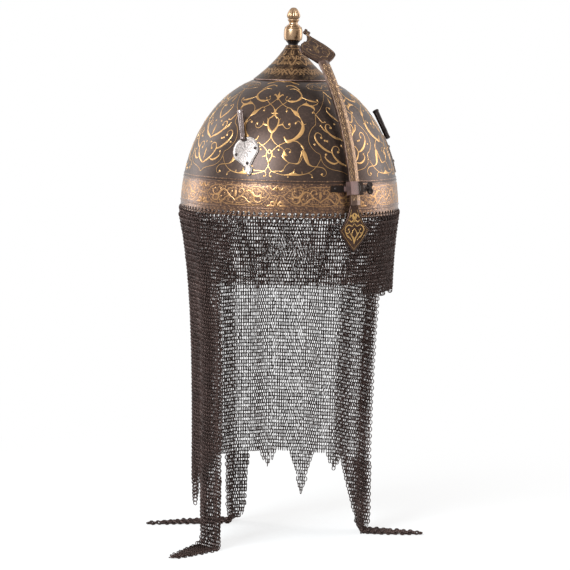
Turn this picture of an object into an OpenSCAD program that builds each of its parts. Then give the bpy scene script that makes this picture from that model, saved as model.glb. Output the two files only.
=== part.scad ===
// Kulah khud: a domed steel helmet with a sliding nasal, plume sockets and a mail curtain.
// Millimetres. The origin is the centre of the rim, +Z points to the finial, the face looks along -Y
// and the wearer's left is +X. Angles round the helmet start at the face and grow to the wearer's left.

/* [Bowl] */
// Outer radius of the bowl at its rim
bowl_radius = 106; // [98:0.5:114]
// Height at which the bowl's outer curve would close
bowl_height = 131.5; // [122:0.5:140]
// Fullness of the bowl's curve (2 is an ellipse, more makes the shoulder rounder and the top flatter)
bowl_fullness = 2.24; // [2:0.02:2.5]
// Thickness of the bowl's steel
bowl_wall = 1.4; // [1.2:0.1:1.8]
// Height of the lower line that bounds the brow band
band_low = 8; // [7.5:0.1:9]
// Height of the upper line that bounds the brow band
band_high = 35.4; // [34.5:0.1:37]
// Height that the band's lines stand proud
bead_proud = 0.6; // [0.4:0.05:0.8]
// Width of each of the band's lines
bead_width = 1.8; // [1.4:0.1:2.2]

/* [Apex plate] */
// Radius of the apex plate at its lower edge
cone_radius = 37; // [34:0.5:41]
// Height of the apex plate's flat top above the rim
cone_top = 159; // [155:0.5:163]
// Radius of the apex plate's flat top
cone_top_radius = 6.8; // [6:0.1:8]
// Thickness of the apex plate
cone_wall = 1.1; // [0.9:0.1:1.4]

/* [Finial] */
// Height of the iron collar under the finial
collar_height = 4.3; // [3.5:0.1:6]
// Radius of the collar where it meets the finial
collar_radius = 7; // [6.4:0.1:7.6]
// Height of the finial's drum
drum_height = 12.2; // [10.5:0.1:14]
// Radius of the finial's drum at its middle
drum_radius = 9.1; // [8.5:0.1:10]
// Height of the ridged shoulder and neck between drum and acorn
neck_height = 9.2; // [8:0.1:11]
// Height of the fluted acorn
acorn_height = 10.6; // [9:0.1:13]
// Radius of the fluted acorn
acorn_radius = 6.5; // [5.8:0.1:7.4]
// Number of flutes round the acorn
acorn_flutes = 12; // [8:1:16]
// Diameter of the stud inside the finial
stud_d = 6; // [5:0.1:7]
// Distance that the stud reaches below the crown
stud_tail = 8; // [7:0.5:11]
// Thickness of the square nut under the crown
nut_thickness = 4.5; // [3.5:0.1:5.5]

/* [Plume sockets] */
// Angle of each plume socket from the face
plume_angle = 58; // [54:1:62]
// Lean of each plume socket away from the face
plume_lean = 20; // [14:1:24]
// Height of the lowest point of a plume plate
plume_plate_low = 37; // [36.5:0.5:40]
// Length of a plume plate up the bowl
plume_plate_length = 36; // [32:0.5:38]
// Full width of a plume plate
plume_plate_width = 27; // [23:0.5:31]
// Thickness of a plume plate
plume_plate_t = 0.9; // [0.7:0.05:1.2]
// Length of a plume tube
plume_tube_length = 31; // [27:0.5:35]
// Outer diameter of a plume tube at its mouth
plume_tube_d = 5.6; // [5.2:0.1:6.4]
// Diameter of a plume tube's bore
plume_bore_d = 3.4; // [3:0.05:3.7]
// Depth of a plume tube's bore
plume_bore_depth = 22; // [18:0.5:24]

/* [Nasal] */
// Radius of the curve that the nasal follows
nasal_radius = 240; // [236:0.5:244]
// Distance of the nasal's middle line from the bowl's rim, at the height of its centre of curve
nasal_gap = 9.4; // [9:0.1:11]
// Height of the nasal's centre of curve (below the rim is negative)
nasal_centre_z = -15; // [-18:0.5:-13]
// Width of the nasal bar
bar_width = 10.6; // [9:0.1:12]
// Thickness of the nasal bar at its ridge
bar_depth = 5; // [4.4:0.1:5.6]
// Thickness of the nasal bar at its edges
bar_edge = 3; // [2.4:0.1:3.4]
// Angle on the nasal's curve at the bar's lower end
bar_low = 6.5; // [6:0.1:7]
// Angle on the nasal's curve at the bar's upper end
bar_high = 41.8; // [40.5:0.1:43]
// Length of the lower leaf below the bar
low_leaf_length = 44; // [40:0.5:48]
// Full width of the lower leaf
low_leaf_width = 34; // [30:0.5:38]
// Length of the upper leaf above the bar
high_leaf_length = 47; // [42:0.5:50]
// Full width of the upper leaf
high_leaf_width = 38; // [34:0.5:42]
// Skew of the upper leaf's two sides, from use
high_leaf_lean = 0.22; // [0:0.01:0.3]
// Thickness of both leaves
leaf_t = 1.8; // [1.4:0.1:2]
// Length of the tongue by which a leaf is lapped behind the bar
tongue_length = 7; // [5:0.5:8]

/* [Bracket] */
// Height of the bracket's middle above the rim
bracket_z = 28; // [27:0.25:29]
// Height of the bracket's box over the bar
box_height = 12.5; // [11:0.5:14]
// Thickness of the box's walls
box_wall = 1.2; // [1:0.1:1.6]
// Height of the strap that holds the box to the bowl
strap_height = 6; // [5:0.5:7]
// Thickness of the strap
strap_t = 1.5; // [1.2:0.1:1.8]
// Length of each arm of the strap from the middle of the box
strap_reach = 21; // [18:0.5:24]
// Play between the bar and its box
bar_play = 0.35; // [0.3:0.05:0.5]
// Diameter of the clamp screw
screw_d = 3; // [2.6:0.1:3.4]
// Distance from the box to the head of the clamp screw
screw_neck = 8; // [6:0.5:9]
// Width of the clamp screw's thumb head from ear to ear
screw_head = 12; // [10:0.5:14]

/* [Rivets] */
// Diameter of every rivet's shank
rivet_d = 1.8; // [1.4:0.1:2.2]
// Diameter of every rivet's head
rivet_head_d = 3; // [2.6:0.1:3.6]

/* [Links] */
// Distance between the holes round the rim
link_pitch = 5.5; // [5.4:0.05:5.6]
// Mean radius of a link
link_radius = 2.95; // [2.9:0.01:2.98]
// Diameter of a link's wire
link_wire = 0.75; // [0.65:0.01:0.8]
// Turn of the links that hang in the rim holes, from the rim's tangent
hanging_turn = 42; // [40:1:45]
// Turn of the links of the first full row, the other way
row_turn = 30; // [28:1:32]
// Distance of the first full row below the hanging links
row_drop = 3.2; // [3.15:0.05:3.3]
// Diameter of the holes in the rim
rim_hole_d = 3.2; // [3.1:0.05:3.3]
// Height of the rim holes above the rim's edge
rim_hole_z = 3; // [2.9:0.05:3.05]

/* [Mail] */
// Thickness of the mail as it hangs
mail_t = 3; // [2.6:0.1:3.4]
// Length of the front veil below the rim
veil_length = 77; // [70:1:79]
// Length of the sides and nape below the rim, to the foot of the points
curtain_length = 255; // [235:1:270]
// Length of the small points below the curtain's edge
small_point = 20; // [14:1:26]
// Length of the middle points below the curtain's edge
middle_point = 47; // [38:1:54]
// Depth of the table on which the long points lie, below the foot of the points
point_drop = 71; // [60:1:80]
// Radius of the long points' bend where they meet the table
point_bend = 9; // [7:0.5:12]
// Length of the right long point's end along the table
right_point_lie = 70; // [50:1:80]
// Length of the left long point's end along the table
left_point_lie = 60; // [40:1:70]
// Length of the nape's long point's end along the table
back_point_lie = 86; // [60:1:100]
// Distance by which the curtain draws in below the rim
curtain_draw = 18.5; // [14:0.5:24]
// Depth over which the curtain draws in
curtain_settle = 80; // [60:1:100]
// Distance by which the front veil draws in below the rim
veil_draw = 5.6; // [5.4:0.1:7]
// Depth over which the front veil draws in
veil_settle = 36; // [28:1:38]
// Height of one rib of the mail, which is a row of rings
mail_rib = 6.9; // [6.5:0.1:8]
// Depth of the grooves between the mail's ribs
mail_groove = 0.8; // [0.4:0.1:0.9]
// Half the swing of the curtain's main folds at its foot
fold_depth = 2.6; // [1.8:0.1:3]
// Depth over which the folds grow
fold_settle = 70; // [50:1:90]

/* [Hidden] */

steel = [0.21, 0.16, 0.15];
patina = [0.33, 0.22, 0.17];
iron = [0.14, 0.12, 0.11];
bright_steel = [0.62, 0.60, 0.57];
brass = [0.80, 0.62, 0.28];
mail_iron = [0.22, 0.19, 0.18];

seat_gap = 0.1;
run_gap = 0.05;
$fn = 48;

// Bowl curve: half an ellipse on the helmet's axis
function bowl_r(z) = bowl_radius * pow(max(0, 1 - pow(z / bowl_height, 2)), 1 / bowl_fullness);
function bowl_z(r) = bowl_height * sqrt(max(0, 1 - pow(r / bowl_radius, bowl_fullness)));
function bowl_slope(z) = atan(2 * z * bowl_r(z) / bowl_fullness
    / (pow(bowl_height, 2) - z * z));
bowl_steps = 30;
beads = [band_low, band_high - 2.3 * bead_width, band_high];
hole_d = rivet_d + 2 * run_gap;

// Finial heights
collar_z = cone_top;
drum_z = collar_z + collar_height;
neck_z = drum_z + drum_height;
acorn_z = neck_z + neck_height;

// Plume sockets: a plate leans about its middle
plate_high = plume_plate_low + plume_plate_length;
tube_foot_d = 0.84 * plume_tube_d;
tube_foot = plume_plate_length / 12;
tube_lift = tube_foot_d / 2 + plume_plate_t + 2 * seat_gap;
plume_rivet_spots = [[-0.36, 0.36], [0.36, 0.36], [0, 0.68]];

// Nasal curve: its centre lies behind the helmet's axis
nasal_reach = bowl_radius + nasal_gap;
nasal_centre_y = nasal_radius - nasal_reach;
bar_back = nasal_radius + bar_depth / 2 - bar_depth;
leaf_front = bar_back - seat_gap;
bracket_angle = asin((bracket_z - nasal_centre_z) / nasal_radius);
box_half = bar_width / 2 + bar_play + box_wall;
box_front = bar_depth / 2 + bar_play + box_wall;
bracket_r = nasal_radius * cos(bracket_angle) - nasal_centre_y;
box_foot = bracket_r - bowl_r(bracket_z) - seat_gap - strap_t / 2;
strap_z = beads[1] - bead_width / 2 - strap_height / 2 - 2 * seat_gap;
arm_angle = asin(strap_reach / bowl_radius);
arm_rivet = 0.8 * arm_angle;
screw_head_x = box_half + screw_neck;
ear_t = 2.2;

// Links
rim_mid = bowl_radius - bowl_wall / 2;
hanging_z = rim_hole_z - 0.3 - link_radius;
row_z = hanging_z - row_drop;
link_count = round(2 * PI * rim_mid / link_pitch);
link_step = 360 / link_count;

// Mail curtain: angles are in columns, eight to a point's pitch
point_pitch = 22.5;
column = point_pitch / 8;
veil_columns = 27;
side_columns = 25;
veil_edge = veil_columns * column;
nape_edge = veil_edge + side_columns * column;
table_depth = curtain_length + point_drop;
mail_top = -row_z + link_radius + link_wire / 2 + 2 * seat_gap;
long_half = 5 * column;
back_half = 3 * column;
middle_half = 3 * column;
small_half = 2 * column;

module skull_bowl() {
    color(steel) difference() {
        rotate_extrude($fn = 120) polygon(concat(bowl_outer(), bowl_inner()));
        for (i = [0 : link_count - 1])
            rotate([0, 0, i * link_step]) translate([0, -rim_mid, rim_hole_z]) rotate([90, 0, 0])
                cylinder(d = rim_hole_d, h = 6 * bowl_wall, center = true, $fn = 20);
        for (side = [-1, 1]) plume_rivet_places(side) rivet_hole();
        bracket_rivet_places() rivet_hole();
        cylinder(d = stud_d + 2 * run_gap, h = 2 * bowl_height);
    }
}

function bead(z) = [
    [bowl_r(z - bead_width / 2), z - bead_width / 2],
    [bowl_r(z) + bead_proud, z - bead_width / 5],
    [bowl_r(z) + bead_proud, z + bead_width / 5],
    [bowl_r(z + bead_width / 2), z + bead_width / 2]];
function near_bead(z) = min([for (b = beads) abs(z - b)]) < bead_width;
function rise(i, height) = height * sin(90 * i / bowl_steps);
function plain_between(low, high) = [for (i = [0 : bowl_steps])
    let (z = rise(i, bowl_height)) if (z >= low && z < high && !near_bead(z)) [bowl_r(z), z]];
function bowl_outer() = concat(
    plain_between(0, beads[0]), bead(beads[0]), plain_between(beads[0], beads[1]), bead(beads[1]),
    plain_between(beads[1], beads[2]), bead(beads[2]), plain_between(beads[2], bowl_height),
    [[0, bowl_height]]);
function bowl_inner() = [for (i = [bowl_steps : -1 : 0])
    [(bowl_radius - bowl_wall) * pow(cos(90 * i / bowl_steps), 2 / bowl_fullness),
        rise(i, bowl_height - bowl_wall)]];

// A frame on the bowl's skin: +Z of the child points out of the steel
module on_bowl(angle, z) {
    rotate([0, 0, angle]) translate([0, -bowl_r(z), z]) rotate([90 - bowl_slope(z), 0, 0]) children();
}

module rivet_hole() {
    cylinder(d = hole_d, h = 8 * bowl_wall, center = true, $fn = 24);
}

// A rivet through the bowl and a plate of thickness t that lies on it
module rivet(t) {
    head = 0.9;
    lift = t + 2 * seat_gap;
    tail = -bowl_wall - 2 * seat_gap;
    translate([0, 0, tail - head]) cylinder(d = rivet_d, h = lift - tail + 2 * head, $fn = 24);
    translate([0, 0, lift]) cylinder(d1 = rivet_head_d, d2 = 0.6 * rivet_head_d, h = head, $fn = 24);
    translate([0, 0, tail - head]) cylinder(d1 = 0.6 * rivet_head_d, d2 = rivet_head_d, h = head, $fn = 24);
}

module apex_cone() {
    steps = 16;
    foot = 3;
    low = bowl_z(cone_radius) + seat_gap + cone_wall;
    function share(u) = pow(1 - u, 1.43 - 0.18 * u);
    function outer(u) = [cone_top_radius + (cone_radius - cone_top_radius) * share(u),
        low + (cone_top - low) * u];
    function inner(u) = outer(u) - [cone_wall, 0.5 * cone_wall];
    bore = stud_d / 2 + run_gap;
    cap = 2;
    color(steel) rotate_extrude($fn = 96) polygon(concat(
        [[cone_radius, low - cone_wall]],
        [for (i = [0 : steps]) outer(i / steps)],
        [[bore, cone_top], [bore, cone_top - cap]],
        [for (i = [steps - 1 : -1 : 2]) inner(i / steps)],
        [[cone_radius - foot, bowl_z(cone_radius - foot) + seat_gap]]));
}

module finial_collar() {
    color(iron) difference() {
        translate([0, 0, collar_z]) cylinder(r1 = 0.69 * collar_radius, r2 = collar_radius, h = collar_height);
        cylinder(d = stud_d + 2 * run_gap, h = 2 * cone_top);
    }
}

module finial() {
    bore = stud_d / 2 + run_gap;
    bore_depth = 0.8 * drum_height;
    shoulder = 0.3 * neck_height;
    neck_r = 0.48 * drum_radius;
    ring_r = 0.83 * acorn_radius;
    color(brass) union() {
        rotate_extrude() polygon([
            [bore, drum_z], [0.86 * drum_radius, drum_z], [0.95 * drum_radius, drum_z + 1.4],
            [drum_radius, drum_z + 0.5 * drum_height], [0.97 * drum_radius, neck_z - 1.6],
            [0.88 * drum_radius, neck_z], [0.92 * drum_radius, neck_z + 0.2 * shoulder],
            [0.84 * drum_radius, neck_z + 0.5 * shoulder], [0.66 * drum_radius, neck_z + 0.6 * shoulder],
            [0.7 * drum_radius, neck_z + 0.8 * shoulder], [0.62 * drum_radius, neck_z + shoulder],
            [neck_r, neck_z + 1.35 * shoulder], [neck_r, acorn_z - 1.1 * shoulder],
            [ring_r, acorn_z - 0.85 * shoulder], [1.03 * ring_r, acorn_z - 0.45 * shoulder],
            [0.9 * ring_r, acorn_z - 0.1 * shoulder], [0.9 * ring_r, acorn_z + 0.3],
            [0, acorn_z + 0.3], [0, drum_z + bore_depth], [bore, drum_z + bore_depth]]);
        translate([0, 0, acorn_z]) fluted_acorn();
    }
}

// Acorn: lobes that swell from a small foot and close at the tip
module fluted_acorn() {
    rows = 8;
    ring = 4 * acorn_flutes;
    function swell(u) = acorn_radius * (u < 0.2 ? 0.86 + 0.7 * u : sqrt(1 - pow((u - 0.2) / 0.84, 2)));
    function lobe(a) = 0.86 + 0.14 * pow(abs(cos(acorn_flutes * a / 2)), 0.7);
    pts = concat(
        [for (i = [0 : rows]) for (j = [0 : ring - 1])
            let (u = i / rows, a = 360 * j / ring, r = swell(u) * lobe(a))
            [r * cos(a), r * sin(a), acorn_height * u]],
        [[0, 0, 0], [0, 0, acorn_height]]);
    last = rows * ring;
    foot = len(pts) - 2;
    tip = len(pts) - 1;
    polyhedron(pts, concat(
        [for (i = [0 : rows - 1]) for (j = [0 : ring - 1])
            let (k = (j + 1) % ring) each [[i * ring + j, (i + 1) * ring + j, i * ring + k],
                [i * ring + k, (i + 1) * ring + j, (i + 1) * ring + k]]],
        [for (j = [0 : ring - 1]) [foot, j, (j + 1) % ring]],
        [for (j = [0 : ring - 1]) [tip, last + (j + 1) % ring, last + j]]));
}

module crown_stud() {
    low = bowl_height - stud_tail;
    top = drum_z + 0.8 * drum_height - 0.5;
    color(iron) translate([0, 0, low]) cylinder(d = stud_d, h = top - low);
}

module crown_nut() {
    width = 2 * stud_d;
    high = bowl_height - bowl_wall - 0.5;
    color(iron) difference() {
        translate([0, 0, high - nut_thickness]) linear_extrude(nut_thickness) square(width, center = true);
        cylinder(d = stud_d + 2 * run_gap, h = bowl_height);
    }
}

// Outline of a leaf from its root at y = 0 to its tip. Each corner is [share of the half width,
// share of the length, bulge of the edge that leads to it]; lean skews the two sides apart.
function edge(a, b, bulge, steps) = let (normal = [b[1] - a[1], a[0] - b[0]])
    [for (i = [1 : steps]) let (t = i / steps) a + (b - a) * t + normal * bulge * 4 * t * (1 - t)];
function leaf_side(corners, half, length, steps) =
    let (at = [for (c = corners) [c[0] * half, c[1] * length]])
    concat([at[0]], [for (i = [1 : len(at) - 1]) each edge(at[i - 1], at[i], corners[i][2], steps)]);
function leaf_outline(corners, half, length, lean, tongue_half, tongue) =
    let (side = leaf_side(corners, half, length, 5), last = len(side) - 1, root = [tongue_half, -tongue])
    concat([for (p = side) [p[0], p[1] - lean * p[0]]],
        [for (i = [last - 1 : -1 : 0]) [-side[i][0], side[i][1] + lean * side[i][0]]],
        tongue > 0 ? [[-tongue_half, 0], [-tongue_half, -tongue], root, [tongue_half, 0]] : []);
plume_corners = [[0.34, 0, 0], [0.97, 0.27, 0.14], [0.9, 0.48, 0.06], [0.2, 0.78, -0.02],
    [0.24, 0.9, 0.35], [0, 1, 0.12]];
low_leaf_corners = [[0.26, 0, 0], [1, 0.53, -0.09], [0, 1, 0.04]];
high_leaf_corners = [[0.25, 0, 0], [0.62, 0.07, 0.25], [0.98, 0.36, 0.16], [0.9, 0.5, 0.2],
    [0.11, 0.84, -0.07], [0.17, 0.92, 0.45], [0, 1, 0.35]];

// A skin of thickness t that lies on the bowl between two heights
module bowl_skin(low, high, t) {
    steps = ceil((high - low) / 3);
    heights = [for (i = [0 : steps]) low + (high - low) * i / steps];
    rotate_extrude($fn = 120) polygon(concat(
        [for (z = heights) [bowl_r(z) + seat_gap, z]],
        [for (i = [steps : -1 : 0]) [bowl_r(heights[i]) + seat_gap + t, heights[i]]]));
}

// A spot of the leaning plate, from x across and y below its top edge: [across, height]
function plume_spot(side, x, y) = let (up = plume_plate_length / 2 - y, turn = side * plume_lean)
    [x * cos(turn) + up * sin(turn), plate_high - plume_plate_length / 2 + up * cos(turn) - x * sin(turn)];

module plume_place(side, x, y) {
    spot = plume_spot(side, x, y);
    on_bowl(side * plume_angle + asin(spot[0] / bowl_r(spot[1])), spot[1]) children();
}

module plume_plate(side) {
    outline = leaf_outline(plume_corners, plume_plate_width / 2, plume_plate_length, 0, 1, 0);
    color(bright_steel) difference() {
        intersection() {
            bowl_skin(plume_plate_low, plate_high + 2, plume_plate_t);
            rotate([0, 0, side * plume_angle]) rotate([90, 0, 0]) linear_extrude(1.5 * bowl_radius)
                polygon([for (p = outline) plume_spot(side, p[0], p[1])]);
        }
        plume_rivet_places(side) rivet_hole();
    }
}

module plume_rivet_places(side) {
    for (spot = plume_rivet_spots)
        plume_place(side, plume_plate_width * spot[0], plume_plate_length * spot[1]) children();
}

module plume_rivets(side) {
    color(iron) plume_rivet_places(side) rivet(plume_plate_t);
}

// A straight tapered tube that leaves the bowl along the tangent at its foot
module plume_tube(side) {
    lip = 0.7;
    color(bright_steel) plume_place(side, 0, tube_foot) translate([0, 0, tube_lift])
        rotate([0, 0, -side * plume_lean]) rotate([-90, 0, 0]) difference() {
            union() {
                cylinder(d1 = tube_foot_d, d2 = plume_tube_d, h = plume_tube_length);
                translate([0, 0, plume_tube_length - 2 * lip])
                    cylinder(d = plume_tube_d + lip, h = 2 * lip);
            }
            translate([0, 0, plume_tube_length - plume_bore_depth])
                cylinder(d = plume_bore_d, h = 2 * plume_bore_depth);
        }
}

// A frame on the nasal's curve: -Y of the child points out of the curve, +Z runs up along it
module on_nasal(angle) {
    translate([0, nasal_centre_y, nasal_centre_z]) rotate([-angle, 0, 0])
        translate([0, -nasal_radius, 0]) children();
}

// Sweep of a section (radius, x) along the nasal's curve
module nasal_sweep(low, high) {
    translate([0, nasal_centre_y, nasal_centre_z]) rotate([0, 90, 0]) rotate([0, 0, -90 - high])
        rotate_extrude(angle = high - low, $fn = 720) children();
}

module nasal_bracket() {
    box_tall = [0, 0, box_height];
    color(patina) difference() {
        union() {
            rotate([0, 0, -90 - arm_angle]) rotate_extrude(angle = 2 * arm_angle, $fn = 120) polygon([
                [bowl_r(strap_z - strap_height / 2) + seat_gap, strap_z - strap_height / 2],
                [bowl_r(strap_z - strap_height / 2) + seat_gap + strap_t, strap_z - strap_height / 2],
                [bowl_r(strap_z + strap_height / 2) + seat_gap + strap_t, strap_z + strap_height / 2],
                [bowl_r(strap_z + strap_height / 2) + seat_gap, strap_z + strap_height / 2]]);
            on_nasal(bracket_angle) translate([-box_half, -box_front, -box_height / 2])
                cube([2 * box_half, box_front + bar_depth / 2 + bar_play + box_wall, box_height]);
            on_nasal(bracket_angle) translate([-box_half, 0, -0.3 * strap_height])
                cube([2 * box_half, box_foot, 0.6 * strap_height]);
            on_nasal(bracket_angle) translate([box_half, 0, 0]) rotate([0, 90, 0])
                cylinder(d = 2 * screw_d, h = 0.4 * screw_neck);
        }
        on_nasal(bracket_angle)
            translate([-bar_width / 2 - bar_play, -bar_depth / 2 - bar_play, -box_height])
                cube([bar_width + 2 * bar_play, bar_depth + 2 * bar_play, 2 * box_height]);
        on_nasal(bracket_angle) rotate([0, 90, 0])
            cylinder(d = screw_d + 2 * run_gap, h = 2 * screw_head_x, $fn = 32);
        bracket_rivet_places() rivet_hole();
    }
}

module bracket_rivet_places() {
    for (side = [-1, 1]) on_bowl(side * arm_rivet, strap_z) children();
}

module bracket_rivets() {
    color(iron) bracket_rivet_places() rivet(strap_t);
}

module clamp_screw() {
    tip = bar_width / 2 + bar_play / 2;
    hub_d = 1.9 * screw_d;
    hub_h = 1.2 * screw_d;
    color(iron) on_nasal(bracket_angle) rotate([0, 90, 0]) union() {
        translate([0, 0, tip]) cylinder(d = screw_d, h = screw_head_x - tip + 0.1, $fn = 32);
        translate([0, 0, screw_head_x]) cylinder(d = hub_d, h = hub_h, $fn = 32);
        for (ear = [-1, 1])
            translate([ear * (screw_head / 2 - screw_d), -ear_t / 2, screw_head_x + hub_h - ear_t / 2])
                rotate([-90, 0, 0]) cylinder(r = screw_d, h = ear_t, $fn = 32);
    }
}

module nasal_bar() {
    half = bar_width / 2;
    color(patina) nasal_sweep(bar_low, bar_high) polygon([
        [bar_back, -half], [bar_back + bar_edge, -half], [bar_back + bar_depth, 0],
        [bar_back + bar_edge, half], [bar_back, half]]);
}

// A leaf plate cut from a curved band behind the bar, with its tongue lapped behind the bar's end.
// up is 1 for the leaf above the bar and -1 for the leaf below it.
module nasal_leaf(corners, half, length, lean, joint, up) {
    reach = up * length * 180 / (PI * nasal_radius);
    lap = -up * tongue_length * 180 / (PI * nasal_radius);
    ends = [joint + reach, joint + lap];
    outline = leaf_outline(corners, half, length, lean, 0.36 * bar_width, 2 * tongue_length);
    color(steel) intersection() {
        nasal_sweep(min(ends), max(ends)) translate([leaf_front - leaf_t, -2 * half])
            square([leaf_t, 4 * half]);
        on_nasal(joint) rotate([90, 0, 0]) translate([0, 0, -length]) linear_extrude(2 * length)
            polygon([for (p = outline) [p[0], up * p[1]]]);
    }
}

module nasal_lower_leaf() {
    nasal_leaf(low_leaf_corners, low_leaf_width / 2, low_leaf_length, 0, bar_low, -1);
}

module nasal_upper_leaf() {
    nasal_leaf(high_leaf_corners, high_leaf_width / 2, high_leaf_length, high_leaf_lean, bar_high, 1);
}

module link(turn) {
    rotate([90, 0, 0]) rotate([0, turn, 0]) rotate_extrude($fn = 32)
        translate([link_radius, 0]) circle(d = link_wire, $fn = 14);
}

module link_row(z, turn, shift) {
    for (i = [0 : link_count - 1])
        rotate([0, 0, (i + shift) * link_step]) translate([0, -rim_mid, z]) link(turn);
}

module rim_links() {
    color(mail_iron) link_row(hanging_z, hanging_turn, 0);
}

module first_row_links() {
    color(mail_iron) link_row(row_z, -row_turn, 0.5);
}

// Mail: mid surface, first as it hangs from the rim, then with its long points on the table
function blend01(x) = let (t = min(1, max(0, x))) t * t * (3 - 2 * t);
function veil_share(angle) = 1 - blend01((abs(angle) - 60) / 25);
function curtain_r(s) = rim_mid - curtain_draw + (curtain_draw + 0.6 * mail_t) * exp(-s / curtain_settle);
function veil_r(s) = rim_mid - veil_draw + (veil_draw + 0.1 * mail_t) * exp(-s / veil_settle);
function fold(angle, s) = fold_depth * (1 - exp(-s / fold_settle)) * (1 - 0.85 * veil_share(angle))
    * (0.7 * cos(16 * angle) + 0.3 * cos(9 * angle + 50));
function mail_r(angle, s) = let (w = veil_share(angle))
    w * veil_r(s) + (1 - w) * curtain_r(s) + fold(angle, s);
function out(angle) = [sin(angle), -cos(angle), 0];
function mail_point(angle, s, lift) = (mail_r(angle, s) + lift) * out(angle) - [0, 0, s];

// Length below the rim at an angle, with the small and middle points
function tooth(angle, at, half, length) = length * max(0, 1 - abs(abs(angle) - at) / half);
function curtain_end(angle) = curtain_length
    + tooth(angle, 5 * point_pitch, small_half, small_point)
    + tooth(angle, 6 * point_pitch, middle_half, middle_point)
    + tooth(angle, 7 * point_pitch, small_half, small_point);

// A closed solid between two grids of points, rows by columns. The front may have more rows than
// the back, a whole number of steps to each of the back's.
module grid_solid(front, back) {
    rows = len(front) - 1;
    back_rows = len(back) - 1;
    per = rows / back_rows;
    cols = len(front[0]);
    count = len(front) * cols;
    function at(i, j) = i * cols + j;
    function under(i, j) = count + i * cols + j;
    function quad(a, b, c, d) = [[a, b, c], [a, c, d]];
    function wall(j) = concat(
        [for (i = [0 : rows - 1]) let (k = floor(i / per) + (i % per < per / 2 ? 0 : 1))
            [at(i, j), at(i + 1, j), under(k, j)]],
        [for (k = [0 : back_rows - 1]) [at(k * per + ceil(per / 2), j), under(k + 1, j), under(k, j)]]);
    polyhedron(concat([for (row = front) each row], [for (row = back) each row]), concat(
        [for (i = [0 : rows - 1]) for (j = [0 : cols - 2])
            each quad(at(i, j), at(i, j + 1), at(i + 1, j + 1), at(i + 1, j))],
        [for (i = [0 : back_rows - 1]) for (j = [0 : cols - 2])
            each quad(under(i, j), under(i + 1, j), under(i + 1, j + 1), under(i, j + 1))],
        [for (j = [0 : cols - 2]) each quad(at(0, j), under(0, j), under(0, j + 1), at(0, j + 1))],
        [for (j = [0 : cols - 2])
            each quad(at(rows, j), at(rows, j + 1), under(back_rows, j + 1), under(back_rows, j))],
        wall(0),
        [for (f = wall(cols - 1)) [f[1], f[0], f[2]]]));
}

// A panel of the curtain: ribs outside, smooth inside, with per steps outside to each inside
module mail_panel(from, to, length, per) {
    cols = round((to - from) / column);
    rows = round(2 * (length - mail_top) / mail_rib / per);
    function extra(angle) = length == veil_length ? 0 : curtain_end(angle) - curtain_length;
    function grid(count, lift, groove) = [for (i = [0 : count]) [for (j = [0 : cols])
        let (angle = from + column * j, u = i / count)
        mail_point(angle, mail_top + (length - mail_top) * u + extra(angle) * pow(u, 4),
            lift - groove * (1 - i % 2))]];
    color(mail_iron) grid_solid(grid(per * rows, mail_t / 2, mail_groove), grid(rows, -mail_t / 2, 0));
}

// A long point: it hangs from the curtain's edge, bends out and lies along the table.
// yaw turns its lying end from straight out towards the wearer's left. The point narrows to its
// waist as it hangs: lead 1 or -1 keeps its edge of larger or smaller angle upright, 0 neither.
module mail_long_point(at, half, lie, yaw, waist, lead) {
    cols = round(2 * half / column);
    chord = mail_r(at, curtain_length) * sin(half);
    lay_z = table_depth - mail_t / 2;
    drop = lay_z - point_bend - curtain_length;
    hang_rows = 2;
    bend_rows = 5;
    lie_rows = 5;
    root = mail_point(at, curtain_length, 0);
    function side(angle) = [cos(angle), sin(angle), 0];
    function stop(i) = i <= hang_rows ? [drop * i / hang_rows, 0, 0]
        : i <= hang_rows + bend_rows ? [drop, 90 * (i - hang_rows) / bend_rows, 0]
        : [drop, 90, lie * (i - hang_rows - bend_rows) / lie_rows];
    function middle(t) = let (h = at + yaw * t[1] / 90) root - [0, 0, t[0] + point_bend * sin(t[1])]
        + (point_bend * (1 - cos(t[1])) + t[2]) * out(h);
    function lost(t) = (1 - waist) * t[0] / drop;
    function width(t) = 1 - lost(t) - (waist - 0.1) * pow(t[2] / lie, 1.5);
    function place(t, p, lift) = let (
        h = at + yaw * t[1] / 90,
        away = p - root,
        across = away * side(at) * width(t) + lead * lost(t) * chord,
        proud = away * out(at) * (1 - t[1] / 90) * width(t) + lift)
        middle(t) + across * side(h) + proud * (cos(t[1]) * out(h) + [0, 0, sin(t[1])]);
    total = hang_rows + bend_rows + lie_rows;
    function grid(lift) = [for (i = [0 : total]) [for (j = [0 : cols])
        let (angle = at - half + column * j)
        i == 0 ? mail_point(angle, curtain_length, lift)
            : place(stop(i), mail_point(angle, curtain_length, 0), lift)]];
    color(mail_iron) grid_solid(grid(mail_t / 2), grid(-mail_t / 2));
}

module mail_front_veil() {
    mail_panel(-veil_edge, veil_edge, veil_length, 4);
}

module mail_right_side() {
    mail_panel(-nape_edge, -veil_edge, curtain_length, 8);
}

module mail_left_side() {
    mail_panel(veil_edge, nape_edge, curtain_length, 8);
}

module mail_nape() {
    mail_panel(nape_edge, 360 - nape_edge, curtain_length, 8);
}

module mail_right_point() {
    mail_long_point(-4 * point_pitch, long_half, right_point_lie, 20, 0.6, 1);
}

module mail_left_point() {
    mail_long_point(4 * point_pitch, long_half, left_point_lie, -48, 0.5, -1);
}

module mail_back_point() {
    mail_long_point(8 * point_pitch, back_half, back_point_lie, 68, 0.75, 0);
}

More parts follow.
